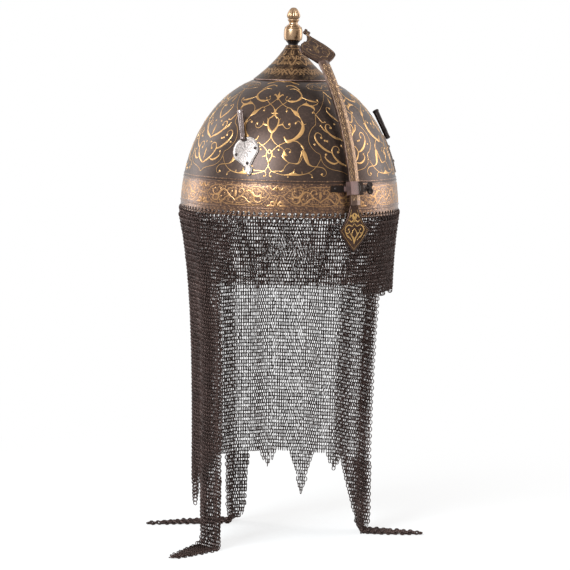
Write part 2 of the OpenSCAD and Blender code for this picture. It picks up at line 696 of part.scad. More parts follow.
skull_bowl();
apex_cone();
finial_collar();
finial();
crown_stud();
crown_nut();
plume_plate(-1);  // plume_plate_right
plume_plate(1);  // plume_plate_left
plume_tube(-1);  // plume_tube_right
plume_tube(1);  // plume_tube_left
plume_rivets(-1);  // plume_rivets_right
plume_rivets(1);  // plume_rivets_left
nasal_bracket();
bracket_rivets();
clamp_screw();
nasal_bar();
nasal_upper_leaf();
nasal_lower_leaf();
rim_links();
first_row_links();
mail_front_veil();
mail_right_side();
mail_left_side();
mail_nape();
mail_right_point();
mail_left_point();
mail_back_point();
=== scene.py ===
"""Looks of the kulah khud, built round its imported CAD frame.

Shapes are worked out in millimetres, in the part's own frame: the origin is the centre of the rim,
+Z points to the finial, the face looks along -Y and the wearer's left is +X.
"""

import math

import bmesh  # noqa: E402
import bpy  # noqa: E402
import numpy as np  # noqa: E402
from mathutils import Matrix, Vector  # noqa: E402
from mathutils.geometry import delaunay_2d_cdt  # noqa: E402


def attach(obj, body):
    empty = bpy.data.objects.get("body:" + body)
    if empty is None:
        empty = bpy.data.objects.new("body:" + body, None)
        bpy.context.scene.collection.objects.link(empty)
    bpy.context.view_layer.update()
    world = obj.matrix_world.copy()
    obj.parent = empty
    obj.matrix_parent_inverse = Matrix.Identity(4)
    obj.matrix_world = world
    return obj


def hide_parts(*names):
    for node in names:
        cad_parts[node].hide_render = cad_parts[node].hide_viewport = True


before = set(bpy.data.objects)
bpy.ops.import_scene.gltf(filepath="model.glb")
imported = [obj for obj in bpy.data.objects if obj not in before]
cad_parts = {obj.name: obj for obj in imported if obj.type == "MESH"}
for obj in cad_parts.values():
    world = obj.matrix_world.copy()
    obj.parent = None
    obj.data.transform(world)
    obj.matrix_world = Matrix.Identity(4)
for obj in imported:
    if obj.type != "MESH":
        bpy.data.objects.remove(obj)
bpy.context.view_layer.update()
MM = 0.001
rng = np.random.default_rng(11)
rad, deg = np.radians, np.degrees

# Named values of the CAD source
BOWL_R, BOWL_H, FULLNESS, WALL = 106.0, 131.5, 2.24, 1.4
CONE_R, CONE_TOP, CONE_TOP_R, CONE_WALL = 37.0, 159.0, 6.8, 1.1
COLLAR_H, COLLAR_R = 4.3, 7.0
DRUM_H, DRUM_R = 12.2, 9.1
NECK_H, ACORN_H, ACORN_R, FLUTES = 9.2, 10.6, 6.5, 12
STUD_D = 6.0
PLUME_ANGLE, PLUME_LEAN, PLATE_LOW, PLATE_L, PLATE_W, PLATE_T = 58.0, 20.0, 37.0, 36.0, 27.0, 0.9
TUBE_L, TUBE_D, TUBE_BORE, TUBE_DEPTH = 31.0, 5.6, 3.4, 22.0
NASAL_R, NASAL_REACH, NASAL_Z = 240.0, 115.4, -15.0
BAR_W, BAR_D, BAR_EDGE, BAR_LOW, BAR_HIGH = 10.6, 5.0, 3.0, 6.5, 41.8
LOW_LEAF_L, LOW_LEAF_W, LEAN, LEAF_T, TONGUE = 44.0, 34.0, 0.22, 1.8, 7.0
BRACKET_Z, STRAP_Z, BOX_WALL, BAR_PLAY, STRAP_T = 28.0, 27.16, 1.2, 0.35, 1.5
SCREW_D, SCREW_NECK, SCREW_HEAD = 3.0, 8.0, 12.0
STRAP_REACH, RIVET_D, RIVET_HEAD = 21.0, 1.8, 3.0
LINKS, LINK_R, HANGING_TURN, ROW_TURN, ROW_DROP = 120, 2.95, 42.0, 30.0, 3.2
HOLE_D, HOLE_Z = 3.2, 3.0
VEIL_L, CURTAIN_L, SMALL_POINT, MIDDLE_POINT = 77.0, 255.0, 20.0, 47.0
TABLE, BEND, MAIL_T, FOLD, FOLD_SETTLE = 326.0, 9.0, 3.0, 2.6, 70.0
CURTAIN_DRAW, CURTAIN_SETTLE, VEIL_DRAW, VEIL_SETTLE = 18.5, 80.0, 5.6, 36.0
SEAT, RUN = 0.1, 0.05

# Read from the photo, and not as in the CAD source: the brow band's three beads and the links' wire
BEADS, BEAD_PROUD, BEAD_W = (8.0, 31.26, 33.9), 0.5, 1.3
LINK_WIRE = 0.88


def bowl_r(z):
    return BOWL_R * np.maximum(0, 1 - (np.asarray(z, float) / BOWL_H) ** 2) ** (1 / FULLNESS)


def inner_r(z):
    return (BOWL_R - WALL) * (1 - (z / (BOWL_H - WALL)) ** 2) ** (1 / FULLNESS)


def bowl_z(r):
    return BOWL_H * np.sqrt(np.maximum(0, 1 - (np.asarray(r, float) / BOWL_R) ** FULLNESS))


def bowl_slope(z):
    z = np.asarray(z, float)
    return np.arctan(2 * z * bowl_r(z) / FULLNESS / np.maximum(1, BOWL_H ** 2 - z * z))


BORE = STUD_D / 2 + RUN
CONE_LOW = float(bowl_z(CONE_R)) + SEAT + CONE_WALL


# ---------------------------------------------------------------- materials


class Nodes:
    """The node tree of a material or a world, with short ways to add nodes."""

    def __init__(self, owner):
        owner.use_nodes = True
        self.owner, self.tree = owner, owner.node_tree

    def feed(self, node, **inputs):
        """Sets a node's inputs, or joins them to the sockets given. An input is named, or numbered as in i0."""
        for key, value in inputs.items():
            socket = node.inputs[int(key[1:]) if key[1:].isdigit() else key.replace("_", " ")]
            if isinstance(value, bpy.types.NodeSocket):
                self.tree.links.new(value, socket)
            else:
                socket.default_value = (*value, 1) if socket.type == "RGBA" else value
        return node

    def add(self, kind, settings=(), **inputs):
        """A new node with its settings and inputs."""
        node = self.tree.nodes.new("ShaderNode" + kind)
        for key, value in dict(settings).items():
            setattr(node, key, value)
        return self.feed(node, **inputs)

    def is_seen(self):
        """1 for rays from the camera and for those mirrored or let through."""
        rays = self.add("LightPath").outputs
        total = rays["Is Camera Ray"]
        for name in ("Is Glossy Ray", "Is Transmission Ray"):
            total = self.add("Math", {"operation": "ADD", "use_clamp": True}, i0=total, i1=rays[name]).outputs[0]
        return total

    def show(self, output, share, plain, seen):
        """Ends the tree in a mix of two shaders."""
        mixed = self.add("MixShader", i0=share, i1=plain.outputs[0], i2=seen.outputs[0])
        self.feed(self.tree.nodes[output], Surface=mixed.outputs[0])


class Look(Nodes):
    """A material, with the patterns that the looks are made of."""

    def __init__(self, name):
        super().__init__(bpy.data.materials.new(name))
        self.shader = self.tree.nodes["Principled BSDF"]
        self.place = self.add("TexCoord").outputs["Object"]

    def noise(self, scale, detail, rough, stretch=None):
        place = self.add("Mapping", Scale=stretch, Vector=self.place).outputs["Vector"] if stretch else self.place
        return self.add("TexNoise", Scale=scale, Detail=detail, Roughness=rough, Vector=place).outputs["Fac"]

    def cells(self, scale):
        node = self.add("TexVoronoi", {"feature": "DISTANCE_TO_EDGE"}, Scale=scale, Vector=self.place)
        return node.outputs["Distance"]

    def ramp(self, pattern, *stops):
        """A grey or a colour that passes from one stop, (level, colour), to the other."""
        node = self.add("ValToRGB", Fac=pattern)
        for element, (level, colour) in zip(node.color_ramp.elements, stops):
            element.position = level
            element.color = (*colour, 1) if hasattr(colour, "__len__") else (colour, colour, colour, 1)
        return node.outputs["Color"]

    def mix(self, share, under, over):
        return self.add("Mix", {"data_type": "RGBA"}, Factor=share, i6=under, i7=over).outputs[2]

    def cover(self, under, over, pattern, bare, full):
        """One colour over another: none of it where the pattern is at bare, all of it at full."""
        return self.mix(self.ramp(pattern, *sorted([(bare, 0.0), (full, 1.0)])), under, over)

    def step(self, value, low, high):
        return self.add("MapRange", Value=value, From_Min=low, From_Max=high).outputs[0]

    def finish(self, bump, **inputs):
        """The material, with its bump (height, strength, distance) and the shader's inputs."""
        height, strength, distance = bump
        normal = self.add("Bump", Strength=strength, Distance=distance, Height=height).outputs["Normal"]
        self.feed(self.shader, Normal=normal, **inputs)
        return self.owner


def steel_look(name, dark, light, rough=(0.33, 0.5), metal=0.92, scale=1.0, wear=1.6, coat=0.0):
    n = Look(name)
    clouds, fine = n.noise(26 * scale, 5, 0.62), n.noise(420 * scale, 5, 0.7)
    colour = n.ramp(clouds, (0.3, dark), (0.72, light))
    colour = n.cover(colour, tuple(min(1, wear * c) for c in light), fine, 0.5, 0.78)
    return n.finish((fine, 0.12, 0.0004), Base_Color=colour, Metallic=metal, Coat_Weight=coat, Coat_Roughness=0.36,
                    Roughness=n.ramp(clouds, (0.3, rough[0]), (0.75, rough[1])))


def gold_look(name, bright, worn_to, wear):
    n = Look(name)
    fine, clouds = n.noise(900, 4, 0.65), n.noise(70, 3, 0.6)
    tone = n.ramp(clouds, (0.32, tuple(0.72 * c for c in bright)), (0.7, bright))
    return n.finish((fine, 0.15, 0.0003), Base_Color=n.cover(tone, worn_to, fine, wear, wear + 0.14), Metallic=1.0,
                    Roughness=n.ramp(fine, (0.3, 0.3), (0.8, 0.5)))


STEEL = steel_look("patinated_steel", (0.02, 0.0105, 0.0068), (0.052, 0.0285, 0.02), (0.38, 0.5), coat=0.33)
LEAF_STEEL = steel_look("leaf_steel", (0.028, 0.016, 0.0125), (0.074, 0.042, 0.031), (0.3, 0.45))
IRON = steel_look("black_iron", (0.016, 0.012, 0.011), (0.04, 0.03, 0.027), (0.4, 0.6), 0.85)
PATINA = steel_look("brown_patina", (0.085, 0.052, 0.042), (0.21, 0.138, 0.115), (0.32, 0.48), 0.95)
# tube_iron is the lit plume tube; the wearer's left tube is drawn in black iron instead, as painted shade
TUBE_IRON = steel_look("tube_iron", (0.15, 0.117, 0.108), (0.25, 0.2, 0.188), (0.2, 0.26), 1.0, wear=1.15)
BAR_STEEL = steel_look("bar_patina", (0.05, 0.03, 0.022), (0.13, 0.085, 0.068), (0.3, 0.44), 0.95)
MAIL = steel_look("mail_wire", (0.026, 0.016, 0.0135), (0.072, 0.045, 0.039), (0.3, 0.5), 0.9, 1.4)
GOLD = gold_look("gold_inlay", (0.54, 0.31, 0.125), (0.1, 0.06, 0.045), 0.6)
BAND_GOLD = gold_look("band_gilding", (0.45, 0.25, 0.112), (0.17, 0.09, 0.055), 0.55)
CONE_GOLD = gold_look("apex_gilding", (0.3, 0.175, 0.085), (0.08, 0.046, 0.03), 0.5)
LEAF_GOLD = gold_look("leaf_gilding", (0.54, 0.33, 0.125), (0.12, 0.07, 0.04), 0.57)
BAR_GOLD = gold_look("bar_gilding", (0.4, 0.245, 0.13), (0.1, 0.062, 0.045), 0.52)
DIM_GOLD = gold_look("dim_gilding", (0.2, 0.12, 0.06), (0.05, 0.03, 0.022), 0.5)
LINE = steel_look("engraved_line", (0.1, 0.085, 0.08), (0.2, 0.18, 0.165), (0.4, 0.55), 0.9)


def band_look():
    """Etched brow band: a coppery ground broken up by fine gilt and dark scrollwork."""
    n = Look("etched_band")
    broad, etched, curls = n.noise(34, 4, 0.6), n.noise(520, 6, 0.72), n.cells(330)
    colour = n.ramp(broad, (0.3, (0.074, 0.034, 0.019)), (0.7, (0.165, 0.086, 0.05)))
    colour = n.cover(colour, (0.31, 0.168, 0.08), etched, 0.5, 0.58)
    colour = n.cover(colour, (0.065, 0.033, 0.023), curls, 0.14, 0.03)
    return n.finish((etched, 0.3, 0.0005), Base_Color=colour, Metallic=0.95, Coat_Weight=0.45, Coat_Roughness=0.3,
                    Roughness=n.ramp(broad, (0.3, 0.3), (0.7, 0.44)))


def brass_look():
    n = Look("finial_brass")
    clouds, fine = n.noise(60, 4, 0.55, (1, 1, 0.25)), n.noise(1200, 3, 0.6)
    colour = n.ramp(clouds, (0.3, (0.25, 0.15, 0.082)), (0.7, (0.36, 0.245, 0.155)))
    return n.finish((fine, 0.06, 0.0003), Base_Color=colour, Metallic=1.0,
                    Roughness=n.ramp(fine, (0.35, 0.24), (0.75, 0.36)))


def engraved_look():
    """Worn silver, its ground cut by close engraving that has filled with dirt."""
    n = Look("engraved_silver")
    clouds, leaves, fine = n.noise(90, 4, 0.6), n.cells(560), n.noise(800, 4, 0.7)
    colour = n.ramp(clouds, (0.3, (0.17, 0.14, 0.127)), (0.7, (0.265, 0.23, 0.213)))
    colour = n.cover(colour, (0.14, 0.113, 0.1), leaves, 0.15, 0.04)
    colour = n.cover(colour, (0.32, 0.285, 0.263), fine, 0.52, 0.7)
    return n.finish((leaves, 0.22, 0.0005), Base_Color=colour, Metallic=1.0,
                    Roughness=n.ramp(clouds, (0.3, 0.34), (0.7, 0.48)))


def apex_look():
    """Brown steel with the worn remains of close gilding."""
    n = Look("apex_steel")
    clouds, flecks = n.noise(60, 5, 0.62), n.noise(330, 4, 0.6)
    colour = n.ramp(clouds, (0.3, (0.019, 0.0098, 0.006)), (0.72, (0.05, 0.0275, 0.0175)))
    colour = n.cover(colour, (0.115, 0.067, 0.034), flecks, 0.5, 0.62)
    return n.finish((flecks, 0.2, 0.0004), Base_Color=colour, Metallic=0.92,
                    Roughness=n.ramp(flecks, (0.4, 0.34), (0.7, 0.48)))


def bracket_look():
    """Brown steel: pinkish on the wearer's right half of the box, a painted highlight of its lit side, and dark
    beside it, painted shade of its side in shadow; its right strap black.
    """
    n = Look("bracket_steel")
    clouds = n.noise(60, 4, 0.6)
    x = n.add("SeparateXYZ", i0=n.place).outputs["X"]
    colour = n.ramp(clouds, (0.3, (0.16, 0.105, 0.095)), (0.7, (0.3, 0.2, 0.185)))
    # painted light: the pinkish tone is the lit side's painted highlight, and the darker colour from x = 0.6 mm on is
    # painted shade
    colour = n.mix(n.step(x, 0.0006, 0.0022), colour, (0.035, 0.024, 0.02))
    colour = n.mix(n.step(x, -0.0082, -0.0072), (0.022, 0.016, 0.014), colour)
    return n.finish((clouds, 0.2, 0.0004), Base_Color=colour, Roughness=0.42, Metallic=0.92)


BAND, BRASS, ENGRAVED, BRACKET, CONE_STEEL = band_look(), brass_look(), engraved_look(), bracket_look(), apex_look()


# ---------------------------------------------------------------- mesh building


def grid_faces(rows, cols, wrap_rows=False):
    """Quads of a grid of points whose rows are closed rings. They face out where rows x columns does."""
    i, j = np.meshgrid(np.arange(rows - (not wrap_rows)), np.arange(cols), indexing="ij")
    i, j = i.ravel(), j.ravel()
    k, m = (i + 1) % rows, (j + 1) % cols
    return np.stack([i * cols + j, k * cols + j, k * cols + m, i * cols + m], 1)


def ring_faces(a, b, n):
    """Quads between two closed rings of n points that begin at a and at b."""
    k = np.arange(n)
    m = (k + 1) % n
    return np.stack([a + k, a + m, b + m, b + k], 1)


def fan_faces(a, tip, n):
    """Triangles between a closed ring of n points that begins at a and one point."""
    return np.c_[ring_faces(a, a, n)[:, :2], np.full(n, tip)]


def around(n):
    return 2 * np.pi * np.arange(n) / n


class Shape:
    """Collects points in millimetres and faces, and makes them one Blender object."""

    def __init__(self):
        self.points, self.faces, self.count = [], [], 0

    def put(self, points, *face_groups):
        points = np.asarray(points, float).reshape(-1, 3)
        for faces in face_groups:
            self.faces.append(np.asarray(faces, int) + self.count)
        self.points.append(points)
        self.count += len(points)

    def make(self, name, material, body="helmet", slot=None, replaces=(), sharp=40, weld=0.0):
        co = np.concatenate(self.points) * MM
        loops = np.concatenate([f.ravel() for f in self.faces])
        sizes = np.concatenate([np.full(len(f), f.shape[1]) for f in self.faces])
        mesh = bpy.data.meshes.new(name)
        mesh.vertices.add(len(co))
        mesh.vertices.foreach_set("co", co.ravel())
        mesh.loops.add(len(loops))
        mesh.loops.foreach_set("vertex_index", loops)
        mesh.polygons.add(len(sizes))
        mesh.polygons.foreach_set("loop_start", np.concatenate([[0], np.cumsum(sizes)[:-1]]))
        mesh.update(calc_edges=True)
        if weld:
            b = bmesh.new()
            b.from_mesh(mesh)
            bmesh.ops.remove_doubles(b, verts=b.verts, dist=weld * MM)
            b.to_mesh(mesh)
            b.free()
        mesh.shade_smooth()
        if sharp < 180:
            mesh.set_sharp_from_angle(angle=math.radians(sharp))
        mesh.materials.append(material)
        obj = bpy.data.objects.new(name, mesh)
        bpy.context.scene.collection.objects.link(obj)
        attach(obj, body)
        if replaces:
            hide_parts(*replaces)
        return obj


def lathe(shape, profile, n=96, place=None):
    """Turns a closed profile of (radius, height) about +Z."""
    profile = np.asarray(profile, float)
    a = around(n)
    r, z = profile[:, 0][:, None], profile[:, 1][:, None]
    points = np.stack([r * np.cos(a), r * np.sin(a), z + 0 * a], -1).reshape(-1, 3)
    if place is not None:
        points = place(points)
    shape.put(points, grid_faces(len(profile), n, True)[:, ::-1])


def matrix_place(matrix):
    rotation, move = np.array(matrix.to_3x3()), np.array(matrix.to_translation())
    return lambda points: np.asarray(points) @ rotation.T + move


def curve(points, steps=6):
    """Catmull-Rom curve through points with any number of values, with the same steps in each span."""
    p = np.asarray(points, float)
    if len(p) == 2:
        t = np.linspace(0, 1, steps + 1)[:, None]
        return p[0] + (p[1] - p[0]) * t
    q = np.vstack([2 * p[0] - p[1], p, 2 * p[-1] - p[-2]])
    t = np.linspace(0, 1, steps, endpoint=False)[:, None]
    out = [0.5 * (2 * b + (c - a) * t + (2 * a - 5 * b + 4 * c - d) * t**2 + (3 * b - a - 3 * c + d) * t**3)
           for a, b, c, d in zip(q, q[1:], q[2:], q[3:])]
    return np.vstack([*out, p[-1:]])


# ---------------------------------------------------------------- ornament


def numbers(words):
    """Points from words such as 'x,y,width'."""
    return np.array([[float(v) for v in word.split(",")] for word in words])


LIFT, SINK = 0.13, 0.12
CONTINUED = "\n  "


def ribbon(shape, points, place, lift=LIFT):
    """A closed strip of inlay along (x, y, width), laid on a surface by place(x, y, height)."""
    p = np.asarray(points, float)
    keep = np.r_[True, np.hypot(*np.diff(p[:, :2], axis=0).T) > 1e-3]
    p = p[keep]
    if len(p) < 2:
        return
    ahead = np.gradient(p[:, :2], axis=0)
    ahead /= np.maximum(1e-9, np.hypot(*ahead.T))[:, None]
    side = np.stack([-ahead[:, 1], ahead[:, 0]], 1)
    half = np.maximum(0.12, p[:, 2]) / 2
    rows = []
    for share, high in ((-1, -SINK), (-0.55, lift), (0.55, lift), (1, -SINK)):
        xy = p[:, :2] + side * (share * half)[:, None]
        rows.append(place(xy[:, 0], xy[:, 1], high))
    points = np.stack(rows, 1).reshape(-1, 3)
    last = 4 * (len(p) - 1)
    shape.put(points, grid_faces(len(p), 4), [[3, 2, 1, 0], [last, last + 1, last + 2, last + 3]])


def dot(shape, x, y, r, place, lift=LIFT, n=14):
    a = around(n)
    rings = [place(x + r * k * np.cos(a), y + r * k * np.sin(a), h)
             for k, h in ((1, -SINK), (0.7, lift), (0.3, 1.5 * lift))]
    centre, under = (place(np.array([x]), np.array([y]), h) for h in (1.6 * lift, -SINK))
    shape.put(np.vstack([*rings, centre, under]), grid_faces(3, n)[:, ::-1],
              fan_faces(2 * n, 3 * n, n), fan_faces(0, 3 * n + 1, n)[:, [1, 0, 2]])


def draw(shape, strokes, place, mirror=True, steps=6, lift=LIFT, thick=1.0, swell=1.0):
    """Draws strokes written as 'x,y,width x,y,width ...', one a line, or more where the next is indented.

    oR adds a dot of radius R at that end. With mirror each stroke is drawn again on the other side.
    """
    for line in strokes.replace(CONTINUED, " ").strip().splitlines():
        words = line.split()
        start = end = 0
        if words[0][0] == "o":
            start = float(words.pop(0)[1:])
        if words[-1][0] == "o":
            end = float(words.pop()[1:])
        p = numbers(words)
        p[:, 2] = thick * p[:, 2] ** swell
        for side in (1, -1) if mirror else (1,):
            q = p * [side, 1, 1]
            if len(q) > 1:
                ribbon(shape, curve(q, steps), place, lift)
            for r, (x, y, _) in ((start, q[0]), (end, q[-1])):
                if r:
                    dot(shape, x, y, r * min(1, 1.6 * thick), place, lift)


def on_turned(angle, radius, slope_of, proud=0.0):
    """place() for a turned skin: x runs along it from the meridian at angle, y is the height."""
    def place(x, z, h):
        r, slope = radius(z), slope_of(z)
        a = rad(angle) + x / r
        out = r + (h + proud) * np.cos(slope)
        return np.stack([out * np.sin(a), -out * np.cos(a), z + (h + proud) * np.sin(slope)], -1)
    return place


def on_bowl(angle, proud=0.0):
    return on_turned(angle, bowl_r, bowl_slope, proud)


PANEL = """
o1.6 11,98.2,1 10.5,100.3,1.2 13,101,1.4 16.3,98.9,2.2 20.5,95.8,4.8 23.9,92.8,1.8 27,88.6,2.2 28.6,84,4.2
  28.2,79.5,5.2 25.5,75.4,4.8 21,72,3.8 16.5,70.3,4.6 14,71.8,2.8 12.4,74.4,1.9 o1.2
28.4,85.6,2.4 31.6,86.8,.6
o1.8 21.5,87.4,1.2 23.3,89.2,1.2 26,87.4,1.4 27.8,84.4,1.6
20.9,71,1.7 24.5,70.6,1.9 28.4,67.9,1.8 30.8,65.4,2.8 32.3,62.6,1.3
29.5,60.4,1.6 31.4,61.8,3.6 33.2,58.6,5 35.4,54,4.6 38.1,49.8,3 42.5,47.8,1.6 47.5,47.4,1.6 52.5,46.2,1.5
  55.6,42.6,1.4 55,39.6,1.3 52.6,38.8,1.2 51.4,40.5,1 o2
31,60.8,3 29.4,55.5,2 27.9,51,1.7
0.3,79.2,1.9 0.6,73.5,1.8 3.8,69.1,1.6 7.8,66,1.6 11.8,64,1.4 13.4,60.8,2.2 13.4,57,4 15,54.3,2.8
  17.5,52,1.6 19.5,51,1.6 24,50.3,1.6 27.5,50.4,2.6 30,52.8,1.7 31.2,56.5,1.6
14,61.5,2 15.2,58.4,3.8 17.2,57.4,1.4
13.6,61.4,1.4 15,63.4,1.3 17.6,63.8,1.2 19.8,62.6,1.1 19.4,60.8,.9 o1.7
o1.9 8.7,62.6,1
19.5,51,1.4 16.5,48.2,1.5 14.7,44.8,1.6 13.4,43,2.6 10.5,42.9,1.5 7.2,43,1.4 3.6,42.1,1.5
16.3,70.2,1.7 11.8,68.5,1.6 7.6,66,1.7 4.6,63.6,1.6 2.1,60.8,1.8 .3,58.6,1.8
0,78.4,3.6 2.4,80.4,3.6 4.4,84,3 5.2,88.2,2.8 4.4,91,2 2.6,92.2,2.2 .2,94.6,3
5,88.6,2 6.5,91.5,.6
4.4,84.6,2.6 7.6,85.5,2.6 9.2,85.8,2.2 11,83.7,1.6 13.6,82,1.5 16,82.7,1.4 16.9,84.9,1.2 15.6,86.3,1 o1.9
9,86,2 9.7,88.4,.6
.2,96.2,3.4 3.4,95.4,1
0,94.6,3 .2,97.8,3 1.6,100.2,1.6 4,102.6,1.4 7.4,105,1.4 10,107.7,1.4 11.4,109.8,1 o1
0,109.6,1.4 4.4,105.4,1.3 8,102.8,1.3 12,101,1.3
0,107.8,1.8 .2,111,3.4 0,115.4,1.2
.8,110.6,2.4 3.4,112.8,2.2 4.8,112,.7
o1.1 8.2,111,1 7.4,108.6,1.2 10.4,107.4,1.6 14,106.8,3.2 18,107.4,2.4 21.4,109.8,3.6 21.6,112.8,2.4
  18,116.2,2 13,118.2,1.4 8.6,117.8,1.2
21.8,111,1.6 27,109,1.5 32,107.6,2.8 38,106.4,.9
20.8,97.4,1.5 21.3,101,1.5 24,103.6,1.5 27.6,104.6,3.8 31,103.4,2.8 34.5,102.4,3.4 37,99.8,1.9 36,97.1,1.1
  o1.8
27.6,105.2,1.8 27.9,107.4,.6
34.8,103.2,1.8 38.4,104.8,1.7 39.4,107,1.4 37.6,108.4,1.1 o1.4
.2,62.6,1.6 2.4,59.8,2.2 2.7,56.8,2.4 1.4,53.8,2.8 0,50.6,3.4
2.6,57,2.4 6.8,55.6,.7
o2.2 0,51,1
0,50,2.2 .6,46.5,1.5 3.4,42.9,1.6 8.9,40.9,1.5 14,39.7,1.6 19.6,39.9,3 24,40.7,4.6 29,39.9,2.4 34,40.6,1.7
  38.5,42,1.6 43,45,1.5 46.5,49.2,1.4 49,54.5,1.3
24.3,41.4,3 24.9,45.6,.7
32.4,40.8,1.8 32,43.2,1
3.4,42.9,1.4 1.7,40.4,1.4 1.9,38.2,1.3 3.3,38,1 o1.7
38.3,41.6,1.4 41.4,40,1.4 42.3,37.8,1.2 o1.3
o1.2 19.4,37.9,1
"""

CARTOUCHE = """
0,116.2,1.1 3,111.5,1 8,106,1 13.5,100.5,1.1 18,97.2,1.1 21.5,94.4,1.1 22.5,91.5,1.2 24.4,86.4,1.2
  29.2,82.6,1.2 33.3,77.5,1.2 35.5,71.5,1.2 34.5,66,1.2 31,61.4,1.2 27.3,58.8,1.2 27,55,1.2 25.5,50.4,1.2
  21.4,46.8,1.2 16.8,45,1.2 11,43.8,1.2 5,42,1.2 0,38.8,1.2
21.8,98,1.2 19.6,93,1.7 17,88.4,2 14.2,88.6,1.5 o1.1
0,47,2 4,48.8,2.8 9,52,3.4 13.2,56.5,2.8 14.8,61.6,2.2 12.4,65.8,1.8 8.7,66.2,1.6 6.9,63.6,1.4 8.4,61,1.2
  o1.8
14.6,60.6,1.6 19,62,3 24,65.6,3.4 28,71,2.8 28.4,76,2 25.2,78.8,1.6 22,77,1.3 22.4,74.2,1 o1.7
9,52,1.4 14.5,50.4,2.8 19.6,52.4,2.8 22.6,56,1.8 21.4,58.8,1.2 o1.5
0,70.4,2 3.4,72.4,2.8 8.4,74.4,3.4 13.2,78,3 15.6,82.8,2.2 13.6,86.4,1.6 10.6,85.8,1.3 10.2,83.2,1 o1.7
0,89,2 2.8,91.4,2.8 6.2,95,2.6 7.8,99.2,1.8 6.2,102,1.3 3.9,101,1 o1.3
13.2,78,1.4 17.6,81.2,2.6 19.6,85.4,2 o1.2
0,73.6,.8 .1,77.6,3.4 0,83.4,.8
0,50.6,.8 .1,55.4,3 0,61,.8
0,104,.8 .1,107.6,2 0,111,.6
o1.6 17.4,71,1 19.6,71.6,1.2 o1.6
o1.5 3.9,66.8,1
o1.5 30.6,68,1
o1.4 5,86.6,1
"""

MEDALLION = """
0,123.4,.7 6,123.2,.7 11,121.9,.7 13.4,120,.7 11,118.4,.7 6,117.2,.7 0,117,.7
0,118.6,.8 2.8,120.2,1.5 5.6,121.8,1 7.4,120.2,.8 o.8
7.4,120.2,.8 9.8,121.2,1.2 11.4,120.2,.6
0,118,.5 .1,120.4,2 0,122.6,.5
"""

TOP_BARS = """
0,124.6,.7 6,124.8,1 10,123.8,1.6 15.6,122.4,.8
o.8 5,120.8,.9 8.4,121.4,1.3 13.4,120,1.6 18.4,117.2,.8
"""

BAND_UNIT = """
0,28.6,.8 9,28.3,.8 15,26.9,.8 20,28.2,.8 27,26.6,.8 31.5,23.2,.8 34.6,19.6,.8 31.5,16,.8 27,12.6,.8
  20,11,.8 15,12.3,.8 9,10.9,.8 0,10.6,.8
0,14,1.2 2.6,16.6,1.6 6,18.6,1.6 9,22.4,1.4 7.4,25.4,1.2 4.2,25.2,1 3.8,22.6,.8 o1.1
6,18.6,1.2 10.4,17,1.8 13.6,13.8,1.6 17,13.4,1.2 18.2,16,1 16.2,17.4,.8 o1
9,22.4,1.2 13,24.2,1.8 16.6,22.6,3.2 19.4,19.4,3.6 22.8,18.8,2.4 26,20.6,1.4 26.6,23.6,1.1 24,24.6,.9 o1
19.4,19.4,2.6 19.6,15.6,2.2 22.6,13.4,1.6 26.2,14.6,1.2 26,17,.8 o.9
16.6,22.6,2 17.6,25.6,1.2 20.4,25.8,.6
22.8,18.8,1.4 28.4,18,1.2 31.6,19.6,.6
0,17,.8 .1,20.4,3.6 0,24.6,.8
o.8 12.4,20.6,1
o.7 2.2,12.4,1 5.6,12.6,.8 9.4,13.4,.6
o.7 11.6,26,1
"""

BAND_PALMETTE = """
0,10.2,1.6 0,13.2,3.6 0,17.6,.8
1.2,11.4,2 3.4,14.2,2.6 5.4,13.4,1.8 5.6,11.6,1
2.4,10.6,1.8 6.4,10.9,2.4 9.6,10.4,.7
1.4,13.4,1.4 2.8,15.6,.6
0,29.4,1.4 0,26.8,2.8 0,23.4,.7
1,28.4,1.8 3.4,25.6,2.2 5.8,27,1.6 5.8,28.8,1
5.8,28,1.4 8.8,29,.7
0,19.8,1.2 3,20.6,1 5.4,20,.4
"""

CONE_UNIT = """
0,131.6,2.6 1.6,133.6,2.6 3,136.4,1.2
3,131.4,1.6 5.6,133.4,2.2 7.4,136.2,1 9.2,134,1.6 8.6,131.6,.8 o.9
0,135,.8 .1,137,2 0,139,.6
11.4,131.8,1 12.4,134.2,2 14,136.4,.8
0,138.4,.9 4,138.4,.9 8,138.4,.9 11.8,138.4,.9
0,140.2,1.8 1.8,142,2.6 3.4,145.4,1.6 2,147.6,1.4 .2,148.6,.8
3.4,141,1 5.4,142.6,2 7.4,141,1 8.6,143.4,1.2
4.6,145.6,1.6 3.8,148.6,1 o.8
0,149.6,1.4 1.2,151.4,1.6 1,154,.8
0,156,.7 1.6,156,.7 3,156,.7
"""


def cone_r(z):
    u = np.clip((np.asarray(z, float) - CONE_LOW) / (CONE_TOP - CONE_LOW), 0, 1)
    return CONE_TOP_R + (CONE_R - CONE_TOP_R) * (1 - u) ** (1.43 - 0.18 * u)


def cone_slope(z, step=0.3):
    return np.arctan2(cone_r(z - step) - cone_r(z + step), 2 * step)


def curls(shape, place, spots, size, width, lift):
    """Small tendrils that fill the ground between larger ornament."""
    t = np.linspace(0, 1, 12)
    for x, y in spots:
        start, hand, r = rng.uniform(0, 2 * np.pi), rng.choice([-1, 1]), size * rng.uniform(0.7, 1.15)
        a, reach = start + hand * 4.4 * t, r * (1 - 0.75 * t)
        line = np.c_[x + reach * np.cos(a), y + reach * np.sin(a), width * (0.5 + np.sin(np.pi * t))]
        ribbon(shape, line, place, lift)


BAND_PHASE, CONE_PHASE = -39.6, -35.0


